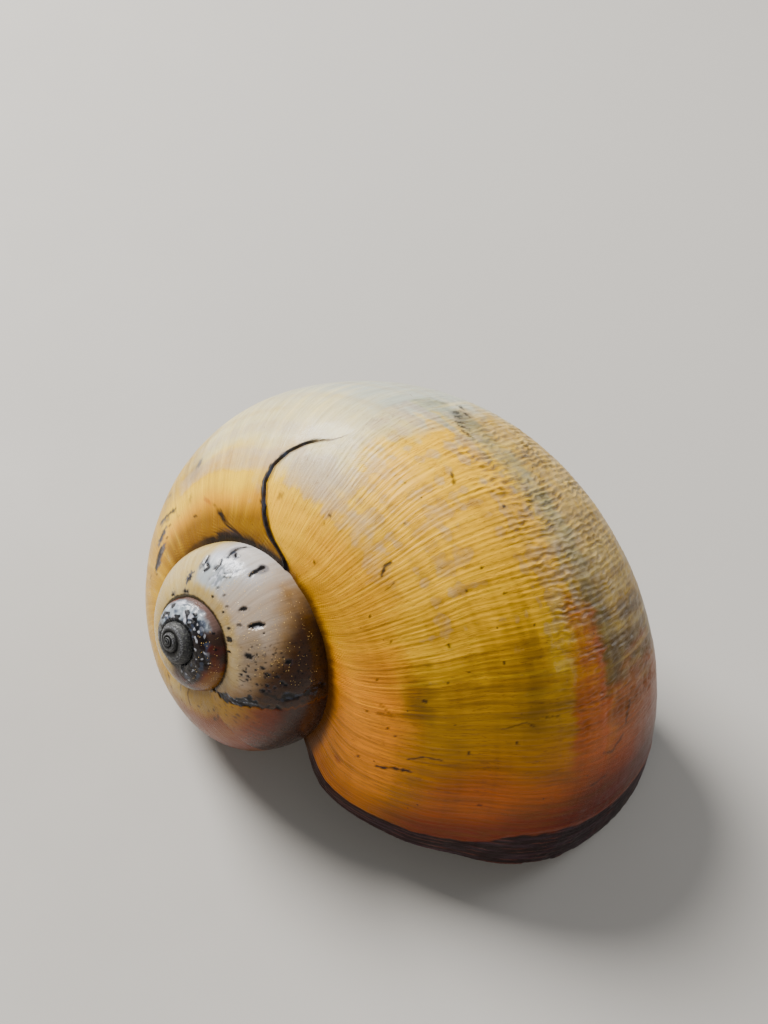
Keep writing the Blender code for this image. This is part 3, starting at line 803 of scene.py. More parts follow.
def give_values(piece, name, kind, values):
    """Point attribute from an array with a row for each point."""
    field = {"FLOAT": "value", "FLOAT_VECTOR": "vector", "FLOAT_COLOR": "color"}[kind]
    attribute = piece.data.attributes.new(name, kind, "POINT")
    attribute.data.foreach_set(field, np.asarray(values, np.float32).ravel())


def shell_piece(name, angle, side, painter, tone, ease=None, cap_in=0.0012, tail=()):
    """Closed length of shell. The first and last rows only serve the normals and are left out."""
    relief = shell_relief(angle, side)
    if ease is not None:
        relief = ease(angle, side, relief)
    paint = painter(angle, np.where(side < HIDDEN_SIDE, side + 360, side), tone)
    relief = relief + paint.dent
    points = settle(place(coil_point(angle, side, relief * MM)))
    normals = grid_normals(points, True)
    points, normals = points[1:-1], normals[1:-1]
    rows, columns = points.shape[:2]
    middle = place(coil_point(angle, side, 0.0))[1:-1].mean(1)
    if np.sum((points[rows // 2] - middle[rows // 2]) * normals[rows // 2]) < 0:
        normals = -normals
    flat = np.concatenate([points.reshape(-1, 3), *tail])
    quads = ring_faces(rows, columns)
    hidden = ring_faces(rows + len(tail), columns)[len(quads) :]
    inward = []
    for row, step in ((0, 1), (rows - 1, -1)):
        along = middle[row + step * 3] - middle[row]
        inward.append(middle[row] + along / np.linalg.norm(along) * cap_in)
    if tail:
        inward[1] = tail[-1].mean(0)
    flat = np.concatenate([flat, inward])
    first, last = len(flat) - 2, len(flat) - 1
    ring = np.arange(columns)
    start = np.stack([np.roll(ring, -1), ring, np.full(columns, first)], -1)
    end_ring = (rows + len(tail) - 1) * columns + ring
    end = np.stack([end_ring, np.roll(end_ring, -1), np.full(columns, last)], -1)
    a, b, c = flat[quads[:, 0]], flat[quads[:, 1]], flat[quads[:, 3]]
    turned = np.sum(np.cross(b - a, c - a) * normals.reshape(-1, 3)[quads[:, 0]]) < 0
    faces = [list(face) for block in (quads, hidden, start, end) for face in block]
    if turned:
        faces = [face[::-1] for face in faces]
    corner = np.zeros((sum(len(face) for face in faces), 3))
    corner[: len(quads) * 4] = normals.reshape(-1, 3)[np.concatenate(faces[: len(quads)])]
    at = len(quads) * 4
    for face in faces[len(quads) :]:
        p, q, r = flat[face[0]], flat[face[1]], flat[face[2]]
        normal = np.cross(q - p, r - p)
        corner[at : at + len(face)] = normal / max(np.linalg.norm(normal), 1e-12)
        at += len(face)
    piece = make_mesh(name, flat, faces, corner)
    growth = np.stack([paint.s, paint.v, 0 * paint.v], -1)[1:-1].reshape(-1, 3)
    colour = np.concatenate([paint.colour, np.ones((*paint.mark.shape, 1))], -1)[1:-1].reshape(-1, 4)
    more = len(flat) - len(growth)
    give_values(piece, "growth", "FLOAT_VECTOR", np.concatenate([growth, np.tile(growth[-1:], (more, 1))]))
    give_values(piece, "shell_colour", "FLOAT_COLOR", np.concatenate([colour, np.tile(colour[-1:], (more, 1))]))
    return piece


def finish_piece(piece, material, slot, *nodes):
    """Gives a finished piece its material and its place in the frame."""
    piece.data.materials.clear()
    piece.data.materials.append(material)
    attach(piece, "root")
    if nodes:
        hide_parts(*nodes)


# ---- materials ----


def node(tree, kind, **values):
    """New node with its properties and, by number or name, its inputs."""
    made = tree.nodes.new(kind)
    for key, value in values.items():
        if key == "inputs":
            for socket, setting in value.items():
                made.inputs[socket].default_value = setting
        else:
            setattr(made, key, value)
    return made


def shell_material(name, roughness, coat, bump, streaks, lines_amount=0.0):
    """Glossy horn-covered shell. Colour comes from the mesh, fine grain from noise along the growth."""
    material = bpy.data.materials.new(name)
    material.use_nodes = True
    tree = material.node_tree
    link = tree.links.new
    shader = tree.nodes["Principled BSDF"]
    colour = node(tree, "ShaderNodeAttribute", attribute_name="shell_colour")
    growth = node(tree, "ShaderNodeAttribute", attribute_name="growth")
    along = node(tree, "ShaderNodeMapping", inputs={"Scale": (2.6, 0.14, 1.0)})
    link(growth.outputs["Vector"], along.inputs["Vector"])
    lines = node(tree, "ShaderNodeTexNoise", inputs={"Scale": 1.0, "Detail": 5.0, "Roughness": 0.65})
    link(along.outputs["Vector"], lines.inputs["Vector"])
    blotches = node(tree, "ShaderNodeTexNoise", inputs={"Scale": 0.55, "Detail": 6.0, "Roughness": 0.62})
    link(growth.outputs["Vector"], blotches.inputs["Vector"])
    grain = node(tree, "ShaderNodeTexNoise", inputs={"Scale": 5.5, "Detail": 4.0, "Roughness": 0.6})
    link(growth.outputs["Vector"], grain.inputs["Vector"])

    value = node(tree, "ShaderNodeMapRange", inputs={"From Min": 0.3, "From Max": 0.7, "To Min": 1 - streaks, "To Max": 1 + streaks})
    link(lines.outputs["Fac"], value.inputs["Value"])
    depth = node(tree, "ShaderNodeMapRange", inputs={"From Min": 0.3, "From Max": 0.7, "To Min": 1.02, "To Max": 1.3})
    link(blotches.outputs["Fac"], depth.inputs["Value"])
    shade = node(tree, "ShaderNodeHueSaturation")
    link(colour.outputs["Color"], shade.inputs["Color"])
    link(value.outputs["Result"], shade.inputs["Value"])
    link(depth.outputs["Result"], shade.inputs["Saturation"])

    thin = node(tree, "ShaderNodeMapping", inputs={"Scale": (1.5, 0.11, 1.0)})
    link(growth.outputs["Vector"], thin.inputs["Vector"])
    contour = node(tree, "ShaderNodeTexNoise", inputs={"Scale": 1.0, "Detail": 3.0, "Roughness": 0.6})
    link(thin.outputs["Vector"], contour.inputs["Vector"])
    middle = node(tree, "ShaderNodeMath", operation="SUBTRACT", inputs={1: 0.5})
    link(contour.outputs["Fac"], middle.inputs[0])
    far = node(tree, "ShaderNodeMath", operation="ABSOLUTE")
    link(middle.outputs["Value"], far.inputs[0])
    crack = node(tree, "ShaderNodeMapRange", inputs={"From Min": 0.002, "From Max": 0.014, "To Min": lines_amount, "To Max": 0.0})
    link(far.outputs["Value"], crack.inputs["Value"])
    lined = node(tree, "ShaderNodeMix", data_type="RGBA", inputs={7: (0.10, 0.035, 0.008, 1)})
    link(crack.outputs["Result"], lined.inputs["Factor"])
    link(shade.outputs["Color"], lined.inputs[6])

    cells = node(tree, "ShaderNodeTexVoronoi", inputs={"Scale": 0.42, "Randomness": 1.0})
    link(growth.outputs["Vector"], cells.inputs["Vector"])
    dots = node(tree, "ShaderNodeMapRange", inputs={"From Min": 0.05, "From Max": 0.075, "To Min": 0.75, "To Max": 0.0})
    link(cells.outputs["Distance"], dots.inputs["Value"])
    some = node(tree, "ShaderNodeMapRange", inputs={"From Min": 0.60, "From Max": 0.66})
    link(cells.outputs["Color"], some.inputs["Value"])
    speck = node(tree, "ShaderNodeMath", operation="MULTIPLY")
    link(dots.outputs["Result"], speck.inputs[0])
    link(some.outputs["Result"], speck.inputs[1])
    mix = node(tree, "ShaderNodeMix", data_type="RGBA", inputs={7: (0.016, 0.009, 0.006, 1)})
    link(speck.outputs["Value"], mix.inputs["Factor"])
    link(lined.outputs[2], mix.inputs[6])
    link(mix.outputs[2], shader.inputs["Base Color"])

    rough = node(tree, "ShaderNodeMapRange", inputs={"From Min": 0.3, "From Max": 0.75, "To Min": roughness - 0.07, "To Max": roughness + 0.12})
    link(blotches.outputs["Fac"], rough.inputs["Value"])
    link(rough.outputs["Result"], shader.inputs["Roughness"])
    both = node(tree, "ShaderNodeMath", operation="MULTIPLY_ADD", inputs={1: 0.35})
    link(grain.outputs["Fac"], both.inputs[0])
    link(lines.outputs["Fac"], both.inputs[2])
    relief = node(tree, "ShaderNodeBump", inputs={"Strength": bump, "Distance": 0.00012})
    link(both.outputs["Value"], relief.inputs["Height"])
    link(relief.outputs["Normal"], shader.inputs["Normal"])
    shader.inputs["Specular IOR Level"].default_value = 0.22
    shader.inputs["Coat Weight"].default_value = coat
    shader.inputs["Coat Roughness"].default_value = 0.16
    return material


def plain_material(name, low, high, roughness, coat, scale, bump, distance):
    """Two-tone organic surface on the piece's own coordinates."""
    material = bpy.data.materials.new(name)
    material.use_nodes = True
    tree = material.node_tree
    link = tree.links.new
    shader = tree.nodes["Principled BSDF"]
    where = node(tree, "ShaderNodeTexCoord")
    blotches = node(tree, "ShaderNodeTexNoise", inputs={"Scale": scale, "Detail": 6.0, "Roughness": 0.6})
    link(where.outputs["Object"], blotches.inputs["Vector"])
    fine = node(tree, "ShaderNodeTexNoise", inputs={"Scale": scale * 6, "Detail": 4.0, "Roughness": 0.6})
    link(where.outputs["Object"], fine.inputs["Vector"])
    ramp = node(tree, "ShaderNodeValToRGB")
    ramp.color_ramp.elements[0].position, ramp.color_ramp.elements[1].position = 0.35, 0.65
    ramp.color_ramp.elements[0].color, ramp.color_ramp.elements[1].color = (*low, 1), (*high, 1)
    link(blotches.outputs["Fac"], ramp.inputs["Fac"])
    link(ramp.outputs["Color"], shader.inputs["Base Color"])
    rough = node(tree, "ShaderNodeMapRange", inputs={"From Min": 0.3, "From Max": 0.7, "To Min": roughness - 0.08, "To Max": roughness + 0.1})
    link(fine.outputs["Fac"], rough.inputs["Value"])
    link(rough.outputs["Result"], shader.inputs["Roughness"])
    relief = node(tree, "ShaderNodeBump", inputs={"Strength": bump, "Distance": distance})
    link(fine.outputs["Fac"], relief.inputs["Height"])
    link(relief.outputs["Normal"], shader.inputs["Normal"])
    shader.inputs["Coat Weight"].default_value = coat
    shader.inputs["Coat Roughness"].default_value = 0.12
    return material


# ---- shell pieces ----


def millimetres_past_scar(angle, side):
    past = (angle - scar_angle(side)) * math.radians(1) * coil_size(angle) * SHELL_RADIUS / MM
    return past * np.clip(outline(side)[0], 0.3, 1)


def scar_relief(angle, side, relief):
    """The older shell ends at the scar in a low rounded edge; the newer one starts below it."""
    past, shown = millimetres_past_scar(angle, side), scar_show(side)
    edge = 0.62 + 0.22 * noise(side / 5, side * 0, 54)
    before = -0.07 * np.exp(-(((past + edge) / 0.14) ** 2)) + 0.05 * band(-0.55, -0.1, 0.15, past)
    after = -0.30 * (1 - smooth(0.0, 2.6, past)) + 0.07 * np.exp(-(((past - 0.25) / 0.16) ** 2))
    calm = 1 - 0.8 * shown * (1 - smooth(1.0, 4.0, np.abs(past)))
    return relief * calm + shown * np.where(past < 0, before, after)


def newer_relief(angle, side, relief):
    past, shown = millimetres_past_scar(angle, side), scar_show(side)
    return scar_relief(angle, side, relief) - shown * 0.32 * (past < 0)


def lip_relief(angle, side, relief):
    """Layered edges of the horny coat next to the lip."""
    age = line_age(angle, side)
    s, v = grown(age), round_length(age, side)
    to_lip = LIP_AT_ZERO - age
    dark_from = 8.8 - 3.9 * smooth(26, 50, side)
    inside = 1 - smooth(dark_from - 0.5, dark_from + 0.8, to_lip)
    phase = s / 0.9 + 0.3 * noise(s / 2, v / 8, 201)
    step = (phase - np.floor(phase)) ** 2
    layers = 0.16 * inside * (step - 0.4) * (0.7 + 0.5 * noise(s / 1.5, v / 4, 202))
    rough = 0.05 * inside * noise(s / 0.5, v / 0.9, 203)
    ridge = 0.10 * np.exp(-(((to_lip - dark_from - 0.55) / 0.35) ** 2)) * (1 - 0.6 * smooth(34, 48, side))
    return newer_relief(angle, side, relief) + layers + rough + ridge


def rows_between(first, last, step):
    """Rows from first to last, with one more beyond each end for the normals."""
    count = max(2, round(abs(last - first) / step))
    gap = (last - first) / count
    return first + gap * np.arange(-1, count + 2)


def make_apex_piece(tone):
    ages = rows_between(APEX_START, SPIRE_START, 2.6)[:, None]
    side = spread(-254, 52, 106)[None, :-1]
    angle, side = np.broadcast_arrays(ages, side)
    return shell_piece("shell_apex", angle, side, paint_apex, tone, cap_in=0.00002)


def make_spire_piece(tone):
    ages = rows_between(SPIRE_START, PENULTIMATE_START, 1.1)[:, None]
    side = spread(-254, 14, -60, 90, 106)[None, :-1]
    angle, side = np.broadcast_arrays(ages, side)
    return shell_piece("shell_spire", angle, side, paint_spire, tone, cap_in=0.0002)


def make_penultimate_piece(tone):
    ages = rows_between(PENULTIMATE_START, OLDER_START, 0.8)[:, None]
    side = spread(-254, 14, -60, 130, 106)[None, :-1]
    angle, side = np.broadcast_arrays(ages, side)
    return shell_piece("shell_penultimate", angle, side, paint_penultimate, tone)


def make_older_piece(tone):
    side = spread(-254, 14, -130, 60, -40, 110, 106)[None, :-1]
    ages = rows_between(0, 1, 1 / 440)[:, None]
    start = OLDER_START + 0 * side
    angle = start + (scar_angle(side) - start) * ages
    side = np.broadcast_to(side, angle.shape)
    return shell_piece("shell_body_older", angle, side, paint_older, tone, scar_relief)


def body_rings(side):
    """Rings that turn the last whorl's wall in behind the lip and run it back into the shell."""
    wall = lip_wall(side) - 0.25
    first = line_angle(np.full(side.shape, float(LIP_AGE)), side)
    rings = []
    for age, share in ((LIP_AGE, 0.5), (LIP_AGE, 1.0), (LIP_AGE - 8, 1.0), (LIP_AGE - 22, 1.0)):
        angle = first if age == LIP_AGE else line_angle(np.full(side.shape, float(age)), side)
        rings.append(place(coil_point(angle, side, -wall * share * MM)))
    return rings


def lip_wall(side):
    """Thickness of the shell at the mouth in millimetres, as the solids have it."""
    return 1.5 + 1.5 * ((1 - np.cos(np.radians(side))) / 2) ** 3


def make_body_piece(tone):
    side = spread(-254, 14, -130, 52, -40, 166, 106)[None, :-1]
    share = rows_between(0, 1, 1 / 400)[:, None]
    start = scar_angle(side) - 0.8 * scar_show(side)
    end = line_angle(np.full(side.shape, float(LIP_AGE)), side)
    angle = start + (end - start) * share
    side = np.broadcast_to(side, angle.shape)
    return shell_piece("shell_body", angle, side, paint_body, tone, lip_relief, tail=body_rings(side[0]))


EDGE = ((0.30, -0.02), (0.14, -0.12), (0.03, -0.30), (0.02, -0.48), (0.14, -0.66), (0.40, -0.80))
INNER = (0.9, 1.8, 3.0, 4.5, 6.0, 7.5, 9.0, 10.4)
DEEPEST_TURN = 20.0


def make_lip(name, sides, tone, thick, rolled):
    """Rim of the mouth: the shell's last stretch, its edge and the inner wall behind it."""
    side = sides[None]
    start = line_angle(np.full(side.shape, float(LIP_AGE)), side)
    end = lip_angle(side)
    per_degree = np.clip(outline(side)[0], 0.12, 1) * coil_size(end) * SHELL_RADIUS / MM * math.radians(1)
    share = rows_between(0, 1, 1 / 64)[:-1, None]
    outer = start + (end - 0.45 / per_degree - start) * share
    wide = np.broadcast_to(side, outer.shape)
    paint = paint_body(outer, wide, tone)
    relief = lip_relief(outer, wide, shell_relief(outer, wide))
    if rolled:
        paint.lay(tone.callus, smooth(0.35, 0.8, share + 0 * wide))
        relief = relief * (1 - 0.9 * smooth(0.3, 0.7, share)) + rolled * smooth(0.35, 0.95, share + 0 * wide)
    last = relief[-1]
    angles, grows, colours = [outer], [relief], [paint.colour]
    edge = np.array(EDGE)
    turn = thick / 0.85
    angles.append(end - edge[:, :1] / per_degree)
    grows.append(last * (1 - np.linspace(0.1, 1, len(edge)))[:, None] + edge[:, 1:] * turn + rolled * 0)
    back = np.array(INNER)[:, None]
    deepest = np.minimum(INNER[-1] / per_degree, DEEPEST_TURN)
    angles.append(end - back / INNER[-1] * deepest)
    wall = lip_wall(side)
    grows.append(-(thick * 0.97 + (wall - thick * 0.97) * smooth(0.5, 4.5, back)))
    rim = np.broadcast_to(np.array(tone.callus if rolled else tone.lip_dark), (len(edge), side.shape[1], 3))
    inside = smooth(0.8, 5.0, back)[..., None]
    lining = np.array(tone.callus if rolled else tone.lip_dark) * (1 - inside) + np.array(tone.mouth_inside) * inside
    colours += [rim, np.broadcast_to(lining, (len(back), side.shape[1], 3))]
    angle, grow, colour = np.concatenate(angles), np.concatenate(grows), np.concatenate(colours)
    wide = np.broadcast_to(side, angle.shape)
    points = settle(place(coil_point(angle, wide, grow * MM)))
    normals = grid_normals(points, False)
    points, normals, angle, wide, colour = points[1:], normals[1:], angle[1:], wide[1:], colour[1:]
    rows, columns = points.shape[:2]
    flat = points.reshape(-1, 3)
    index = np.arange(rows * columns).reshape(rows, columns)
    below = np.roll(index, -1, 0)
    quads = np.stack([index[:, :-1], index[:, 1:], below[:, 1:], below[:, :-1]], -1).reshape(-1, 4)
    faces = [list(face) for face in quads]
    outward = points[10, columns // 2] - place(coil_point(angle[10], wide[10], -0.01)[columns // 2])
    if normals[10, columns // 2] @ outward < 0:
        normals = -normals
    a, b, c = flat[quads[:, 0]], flat[quads[:, 1]], flat[quads[:, 3]]
    turned = np.sum(np.cross(b - a, c - a) * normals.reshape(-1, 3)[quads[:, 0]]) < 0
    if turned:
        faces = [face[::-1] for face in faces]
    first, last_face = list(index[:, 0]), list(index[:, -1][::-1])
    if turned:
        first, last_face = first[::-1], last_face[::-1]
    grid = len(faces)
    faces += [first, last_face]
    all_normals = normals.reshape(-1, 3)
    corner = all_normals[np.concatenate([np.array(face) for face in faces])]
    piece = make_mesh(name, flat, faces, corner)
    s, v = grown(line_age(angle, wide)), round_length(angle, wide)
    give_values(piece, "growth", "FLOAT_VECTOR", np.stack([s, v, 0 * s], -1).reshape(-1, 3))
    give_values(piece, "shell_colour", "FLOAT_COLOR", np.concatenate([colour, np.ones((rows, columns, 1))], -1).reshape(-1, 4))
    return piece, grid


# ---- operculum and foot ----

PLANE_ACROSS = np.array((1.0, 0.3266, 0.0)) / math.hypot(1.0, 0.3266)
PLANE_UP = np.cross(MOUTH_NORMAL, PLANE_ACROSS)


def plane_outline(name, depth, nucleus, directions):
    """Distance from a point in the mouth to the edge of a solid's cut at a depth, in each direction."""
    mesh = bmesh.new()
    mesh.from_mesh(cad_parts[name].data)
    bmesh.ops.remove_doubles(mesh, verts=mesh.verts, dist=1e-6)
    points = (np.array([vert.co for vert in mesh.verts]) - APEX_AT) @ AXIS_TURN
    level = points @ MOUTH_NORMAL - MOUTH_OFFSET
    flat = np.stack([points @ PLANE_ACROSS, points @ PLANE_UP], -1)
    mesh.verts.index_update()
    segments = []
    for face in mesh.faces:
        ids = [vert.index for vert in face.verts]
        for i, j in zip(ids, ids[1:] + ids[:1]):
            if abs(level[i] - depth) < 6e-5 and abs(level[j] - depth) < 6e-5:
                segments.append((flat[i], flat[j]))
    mesh.free()
    starts, ends = (np.array(side) - nucleus for side in zip(*segments))
    found = []
    for turn in directions:
        c, s = math.cos(turn), math.sin(turn)
        a, b = starts @ (-s, c), ends @ (-s, c)
        crosses = (a * b <= 0) & (np.abs(a - b) > 1e-12)
        t = a[crosses] / (a[crosses] - b[crosses])
        along = (starts[crosses] @ (c, s)) * (1 - t) + (ends[crosses] @ (c, s)) * t
        found.append(along.max())
    return np.array(found)


def round_off(values, width):
    """Running mean round a closed outline."""
    padded = np.pad(values, width, "wrap")
    return np.convolve(padded, np.full(2 * width + 1, 1 / (2 * width + 1)), "valid")


def disc_piece(name, nucleus, reach_out, shares, depths, values):
    """Closed disc across the mouth from rings, each a share of its outline at a depth."""
    directions = np.linspace(0, 2 * np.pi, len(reach_out), endpoint=False)
    rings = []
    for share, depth in zip(shares, depths):
        flat = nucleus + (reach_out * share)[:, None] * np.stack([np.cos(directions), np.sin(directions)], -1)
        out = flat[:, :1] * PLANE_ACROSS + flat[:, 1:] * PLANE_UP + np.reshape(MOUTH_OFFSET + depth, (-1, 1)) * MOUTH_NORMAL
        rings.append(place(out))
    rings = np.array(rings)
    rows, columns = rings.shape[:2]
    flat = np.concatenate([rings.reshape(-1, 3), [rings[0].mean(0), rings[-1].mean(0)]])
    faces = [list(face) for face in ring_faces(rows, columns)]
    top, bottom = rows * columns, rows * columns + 1
    ring = list(range(columns))
    faces += [[j, i, top] for i, j in zip(ring, ring[1:] + ring[:1])]
    base = (rows - 1) * columns
    faces += [[base + i, base + j, bottom] for i, j in zip(ring, ring[1:] + ring[:1])]
    if volume(flat, faces[:: 1]) < 0:
        faces = [face[::-1] for face in faces]
    piece = make_mesh(name, flat, faces)
    give_values(piece, "rings", "FLOAT", np.concatenate([np.ravel(values), [0.0, 1.0]]))
    return piece


def make_operculum_piece(sizes):
    """Horny lid with growth rings round a nucleus near the columella."""
    nucleus = np.array((sizes.nucleus_across, sizes.nucleus_up))
    directions = np.linspace(0, 2 * np.pi, 240, endpoint=False)
    reach_out = round_off(plane_outline("operculum", 0.0046, nucleus, directions), 4) - 0.00012
    front = np.linspace(0.012, 1, 120)
    shares, depths, values = [], [], []
    for share in front:
        distance = share * reach_out / MM
        wave = share * 24 + 0.5 * noise(np.cos(directions) * 2 + 9, np.sin(directions) * 2 + share * 3, 211)
        ring = np.abs(np.sin(np.pi * wave)) ** 0.7
        dish = sizes.operculum_dish / MM * (1 - share**2)
        fine = 0.02 * noise(distance / 0.4 + directions * 3, directions * 5, 212)
        depth = 4.62 + dish + 0.075 * (1 - ring) + fine
        depth = np.where(share > 0.985, depth + 0.12, depth)
        shares.append(share)
        depths.append(depth * MM)
        values.append(ring * 0.6 + 0.4 * share)
    for share, depth in ((1.004, 5.1), (0.995, 5.7), (0.9, 5.95), (0.5, 6.2), (0.05, 6.2)):
        shares.append(share)
        depths.append(np.full(240, depth * MM))
        values.append(np.full(240, 0.5))
    return disc_piece("operculum_lid", nucleus, reach_out, shares, depths, values)


def make_foot_piece(sizes):
    """Drawn-in foot: a wrinkled rim of flesh round the operculum and the pad behind it."""
    nucleus = np.array((sizes.nucleus_across, sizes.nucleus_up))
    directions = np.linspace(0, 2 * np.pi, 360, endpoint=False)
    reach_out = round_off(plane_outline("foot", 0.0063, nucleus, directions), 4) - 0.0001
    lid = round_off(plane_outline("operculum", 0.0046, nucleus, directions), 4)
    inner = lid / reach_out
    shares, depths, values = [], [], []
    for share in np.linspace(0.05, 0.9, 8):
        shares.append(share * inner)
        depths.append(np.full(360, 6.5 * MM))
        values.append(np.full(360, share))
    for t in np.linspace(0, 1, 18):
        share = inner * 0.97 + (1.0 - inner * 0.97) * t
        fold = 0.16 * noise(directions * 14, t * 2.2 + directions * 0, 221) + 0.08 * noise(directions * 37, t * 4 + directions * 0, 222)
        depth = 6.35 - 1.25 * math.sin(math.pi * min(t * 1.05, 1)) ** 0.7 + fold * math.sin(math.pi * t)
        shares.append(share)
        depths.append(depth * MM)
        values.append(np.full(360, t))
    for share, depth in ((1.0, 7.4), (0.985, 8.9), (0.5, 9.0), (0.05, 9.0)):
        shares.append(np.full(360, share))
        depths.append(np.full(360, depth * MM))
        values.append(np.full(360, 0.5))
    return disc_piece("foot_flesh", nucleus, reach_out, shares, depths, values)


# ---- settings ----


def grain_tree(material):
    """Geometry nodes that strew small grains over a surface."""
    tree = bpy.data.node_groups.new("silt_grains", "GeometryNodeTree")
    face = tree.interface
    face.new_socket("Geometry", in_out="INPUT", socket_type="NodeSocketGeometry")
    for name, kind in (("Grain Size", "NodeSocketFloat"), ("Density", "NodeSocketFloat"), ("Seed", "NodeSocketInt")):
        face.new_socket(name, in_out="INPUT", socket_type=kind)
    face.new_socket("Geometry", in_out="OUTPUT", socket_type="NodeSocketGeometry")
    link = tree.links.new
    given, result = tree.nodes.new("NodeGroupInput"), tree.nodes.new("NodeGroupOutput")
    strew = tree.nodes.new("GeometryNodeDistributePointsOnFaces")
    link(given.outputs["Geometry"], strew.inputs["Mesh"])
    link(given.outputs["Density"], strew.inputs["Density"])
    link(given.outputs["Seed"], strew.inputs["Seed"])
    grain = node(tree, "GeometryNodeMeshIcoSphere", inputs={"Subdivisions": 1})
    link(given.outputs["Grain Size"], grain.inputs["Radius"])
    scale = node(tree, "FunctionNodeRandomValue", data_type="FLOAT_VECTOR", inputs={0: (0.4, 0.4, 0.3), 1: (1.3, 1.3, 0.8)})
    link(given.outputs["Seed"], scale.inputs["Seed"])
    place_grains = tree.nodes.new("GeometryNodeInstanceOnPoints")
    link(strew.outputs["Points"], place_grains.inputs["Points"])
    link(grain.outputs["Mesh"], place_grains.inputs["Instance"])
    link(strew.outputs["Rotation"], place_grains.inputs["Rotation"])
    link(scale.outputs[0], place_grains.inputs["Scale"])
    realize = tree.nodes.new("GeometryNodeRealizeInstances")
    link(place_grains.outputs["Instances"], realize.inputs["Geometry"])
    finish = node(tree, "GeometryNodeSetMaterial", inputs={"Material": material})
    link(realize.outputs["Geometry"], finish.inputs["Geometry"])
    link(finish.outputs["Geometry"], result.inputs["Geometry"])
    return tree


def make_grains_piece(grains, material):
    """Silt caught on the older whorls, where the horny coat is rough."""
    points, faces = [], []
    for first, last, low, high, step in ((-470, -392, 2, 96, 2), (-800, -704, 22, 90, 3)):
        angle, side = np.meshgrid(np.arange(first, last, step), np.arange(low, high, 2.0), indexing="ij")
        patch = place(coil_point(angle, side, shell_relief(angle, side) * MM))
        index = np.arange(angle.size).reshape(angle.shape) + sum(len(part) for part in points)
        quads = np.stack([index[:-1, :-1], index[1:, :-1], index[1:, 1:], index[:-1, 1:]], -1).reshape(-1, 4)
        points.append(patch.reshape(-1, 3))
        faces += [list(quad) for quad in quads]
    host = make_mesh("silt_grains", np.concatenate(points), faces)
    layer = host.modifiers.new("silt_grains", "NODES")
    layer.node_group = grain_tree(material)
    values = {"Grain Size": grains.size, "Density": grains.density, "Seed": grains.seed}
    for item in layer.node_group.interface.items_tree:
        if item.in_out == "INPUT" and item.name in values:
            layer[item.identifier] = values[item.name]
    seen = host.evaluated_get(bpy.context.evaluated_depsgraph_get())
    plain = bpy.data.meshes.new_from_object(seen)
    host.modifiers.clear()
    host.data = plain
    return host


def tint(name, description, red, green, blue):
    return FloatVectorProperty(
        name=name, description=description, subtype="COLOR_GAMMA", size=3, min=0, max=1,
        default=(red / 255, green / 255, blue / 255),
    )


